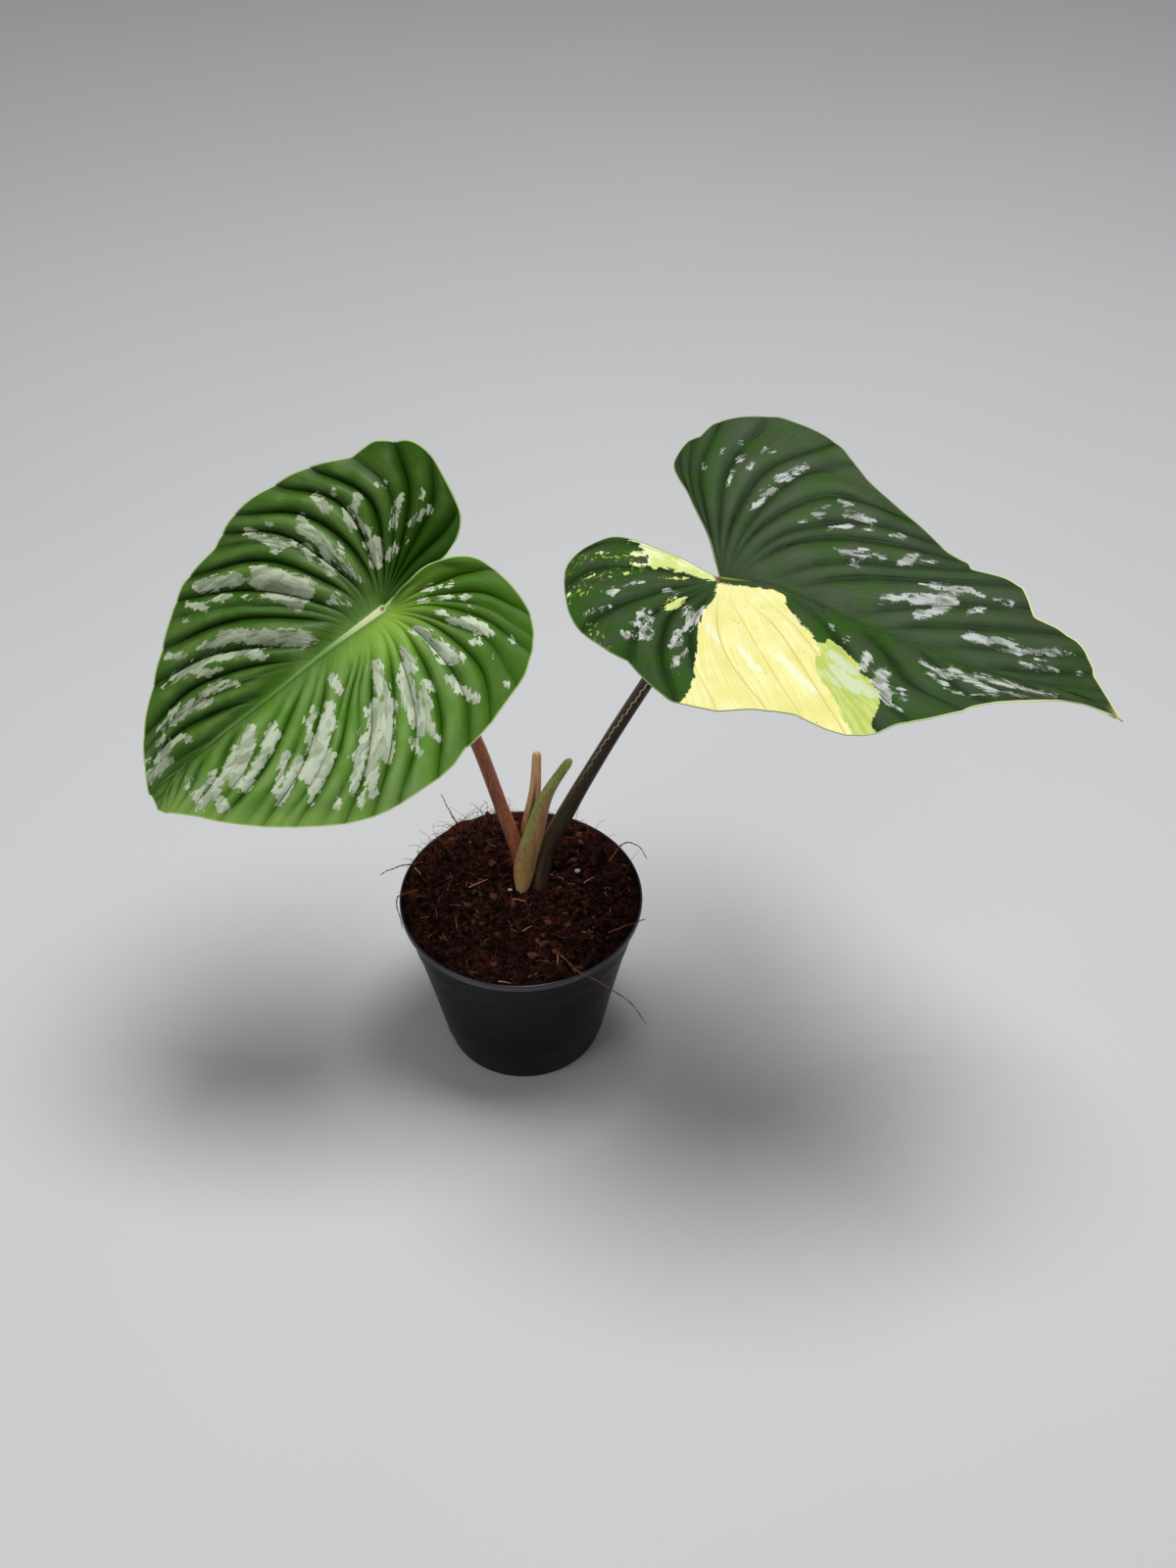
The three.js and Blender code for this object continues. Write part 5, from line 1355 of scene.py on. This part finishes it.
def fibre_piece(node, route, material):
    centres = route_points(route, FIBRE_STEPS)
    wander = FIBRE_SWAY * np.sin(np.linspace(0, 17, FIBRE_STEPS + 1))[:, None] * np.array([0.3, 0.2, 1.0])

    def section(t):
        return ring_of(FIBRE_THICK * (1 - 0.55 * t) * (1 + 0.25 * math.sin(t * 50)), 8)

    points, faces, _, _ = sweep(centres + wander, section, STRAND_HINT)
    return add_piece(node + "_strand", points, faces, material, [node])


def coir_material():
    s = Shader("coir", 0.7, 0.3)
    place = s.place()
    streak = s.noise(place, 900.0, 3.0)
    s.set("Base Color", s.streaked(streak, (70, 34, 24), (150, 92, 64)))
    s.bump(streak, 0.0005, 0.6)
    return s.material


def grain_piece(node, x, y, material):
    ball, faces = icosphere()
    for _ in range(3):
        ball, faces = finer(ball, faces)
    dents = 0.6 + 0.8 * fractal(ball + x, 0.9, 61)
    points = ball * dents[:, None] * np.array(GRAIN_SHAPE) * (1 if x > 0 else SMALL_GRAIN)
    points = points + np.array([x, y, float(soil_height(x, y)) + 0.6])
    return add_piece(node + "_white", points, faces, material, [node])


def perlite_material():
    s = Shader("perlite", 0.75, 0.3)
    pores = s.noise(s.place(), 1600.0, 3.0)
    s.set("Base Color", s.mix(s.step(pores, 0.3, 0.6), (176, 168, 156), (232, 228, 218)))
    s.bump(pores, 0.0008, 0.8)
    return s.material


# Build the plant
blade_piece(LEFT, "left_blade", left_leaf_material())
blade_piece(RIGHT, "right_blade", right_leaf_material())
stalk_piece("left_stalk", "left_petiole", left_stalk_material(), LEFT_STALK, LEFT, LEFT_RADII)
stalk_piece(
    "right_stalk", "right_petiole", right_stalk_material(), RIGHT_STALK, RIGHT, RIGHT_RADII,
    RIDGE_HEIGHT,
)
sheath_piece(
    "green_sheath", "green_cataphyll", green_sheath_material(), GREEN_SHEATH,
    half_width=5.3, depth=2.5, taper=0.56, wall=1.2, curl=0.3, foot=0.36,
)
sheath_piece(
    "dry_sheath", "dry_cataphyll", dry_sheath_material(), DRY_SHEATH,
    half_width=3.8, depth=1.9, taper=0.42, wall=1.0, curl=0.2, foot=0.6,
)
pot_piece()
soil_piece(soil_material())
coir = coir_material()
for node, route in FIBRES.items():
    fibre_piece(node, route, coir)
perlite = perlite_material()
for node, (x, y) in GRAINS.items():
    grain_piece(node, x, y, perlite)

# The stem lies under the soil and keeps its own shape
s = Shader("stem", 0.5, 0.4)
bark = s.noise(s.stretched(s.place(), 300, 300, 700), 1.0, 3.0)
s.set("Base Color", s.streaked(bark, (92, 84, 40), (140, 112, 68)))
s.bump(bark, 0.0008, 0.5)
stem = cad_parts["stem"]
stem.data.materials.clear()
stem.data.materials.append(s.material)

# The floor, the lights and the camera
floor_mesh = bpy.data.meshes.new("floor")
floor_mesh.from_pydata([(-9, -6, 0), (9, -6, 0), (9, 14, 0), (-9, 14, 0)], [], [(0, 1, 2, 3)])
s = Shader("floor", 0.8, 0.15)
s.set("Base Color", s.mix(s.noise(s.place(), 3.0, 2.0), (0.7, 0.7, 0.7, 1), (0.74, 0.74, 0.74, 1)))
floor_mesh.materials.append(s.material)
floor = bpy.data.objects.new("floor", floor_mesh)
bpy.context.scene.collection.objects.link(floor)
floor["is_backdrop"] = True


def add_light(name, place, aim, size, power):
    light = bpy.data.lights.new(name, "AREA")
    light.shape = "DISK"
    light.size = size
    light.energy = power
    lamp = bpy.data.objects.new(name, light)
    lamp.location = place
    lamp.rotation_euler = (Vector(aim) - Vector(place)).to_track_quat("-Z", "Y").to_euler()
    bpy.context.scene.collection.objects.link(lamp)


add_light("key", (0.22, 0.14, 1.62), (0.03, 0, 0.22), 0.75, 18)
add_light("fill", (-1.1, -0.9, 1.0), (0, 0, 0.2), 1.0, 4)

world = bpy.data.worlds.new("studio")
world.use_nodes = True
world.node_tree.nodes["Background"].inputs["Color"].default_value = (0.9, 0.93, 1.0, 1)
world.node_tree.nodes["Background"].inputs["Strength"].default_value = 0.2
scene = bpy.context.scene
scene.world = world
scene.view_settings.view_transform = "Standard"

lens = bpy.data.cameras.new("view")
lens.lens = 42
lens.sensor_width = 36
lens.clip_start = 0.05
camera = bpy.data.objects.new("view", lens)
camera.location = (0.0332, -0.6213, 0.7580)
camera.rotation_euler = (math.radians(46.6), 0, 0)
scene.collection.objects.link(camera)
scene.camera = camera


# The two sizes
def plain(value):
    return [plain(v) for v in value] if hasattr(value, "__len__") else float(value)


{"cad": plain(cad_box), "visual": plain(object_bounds())}
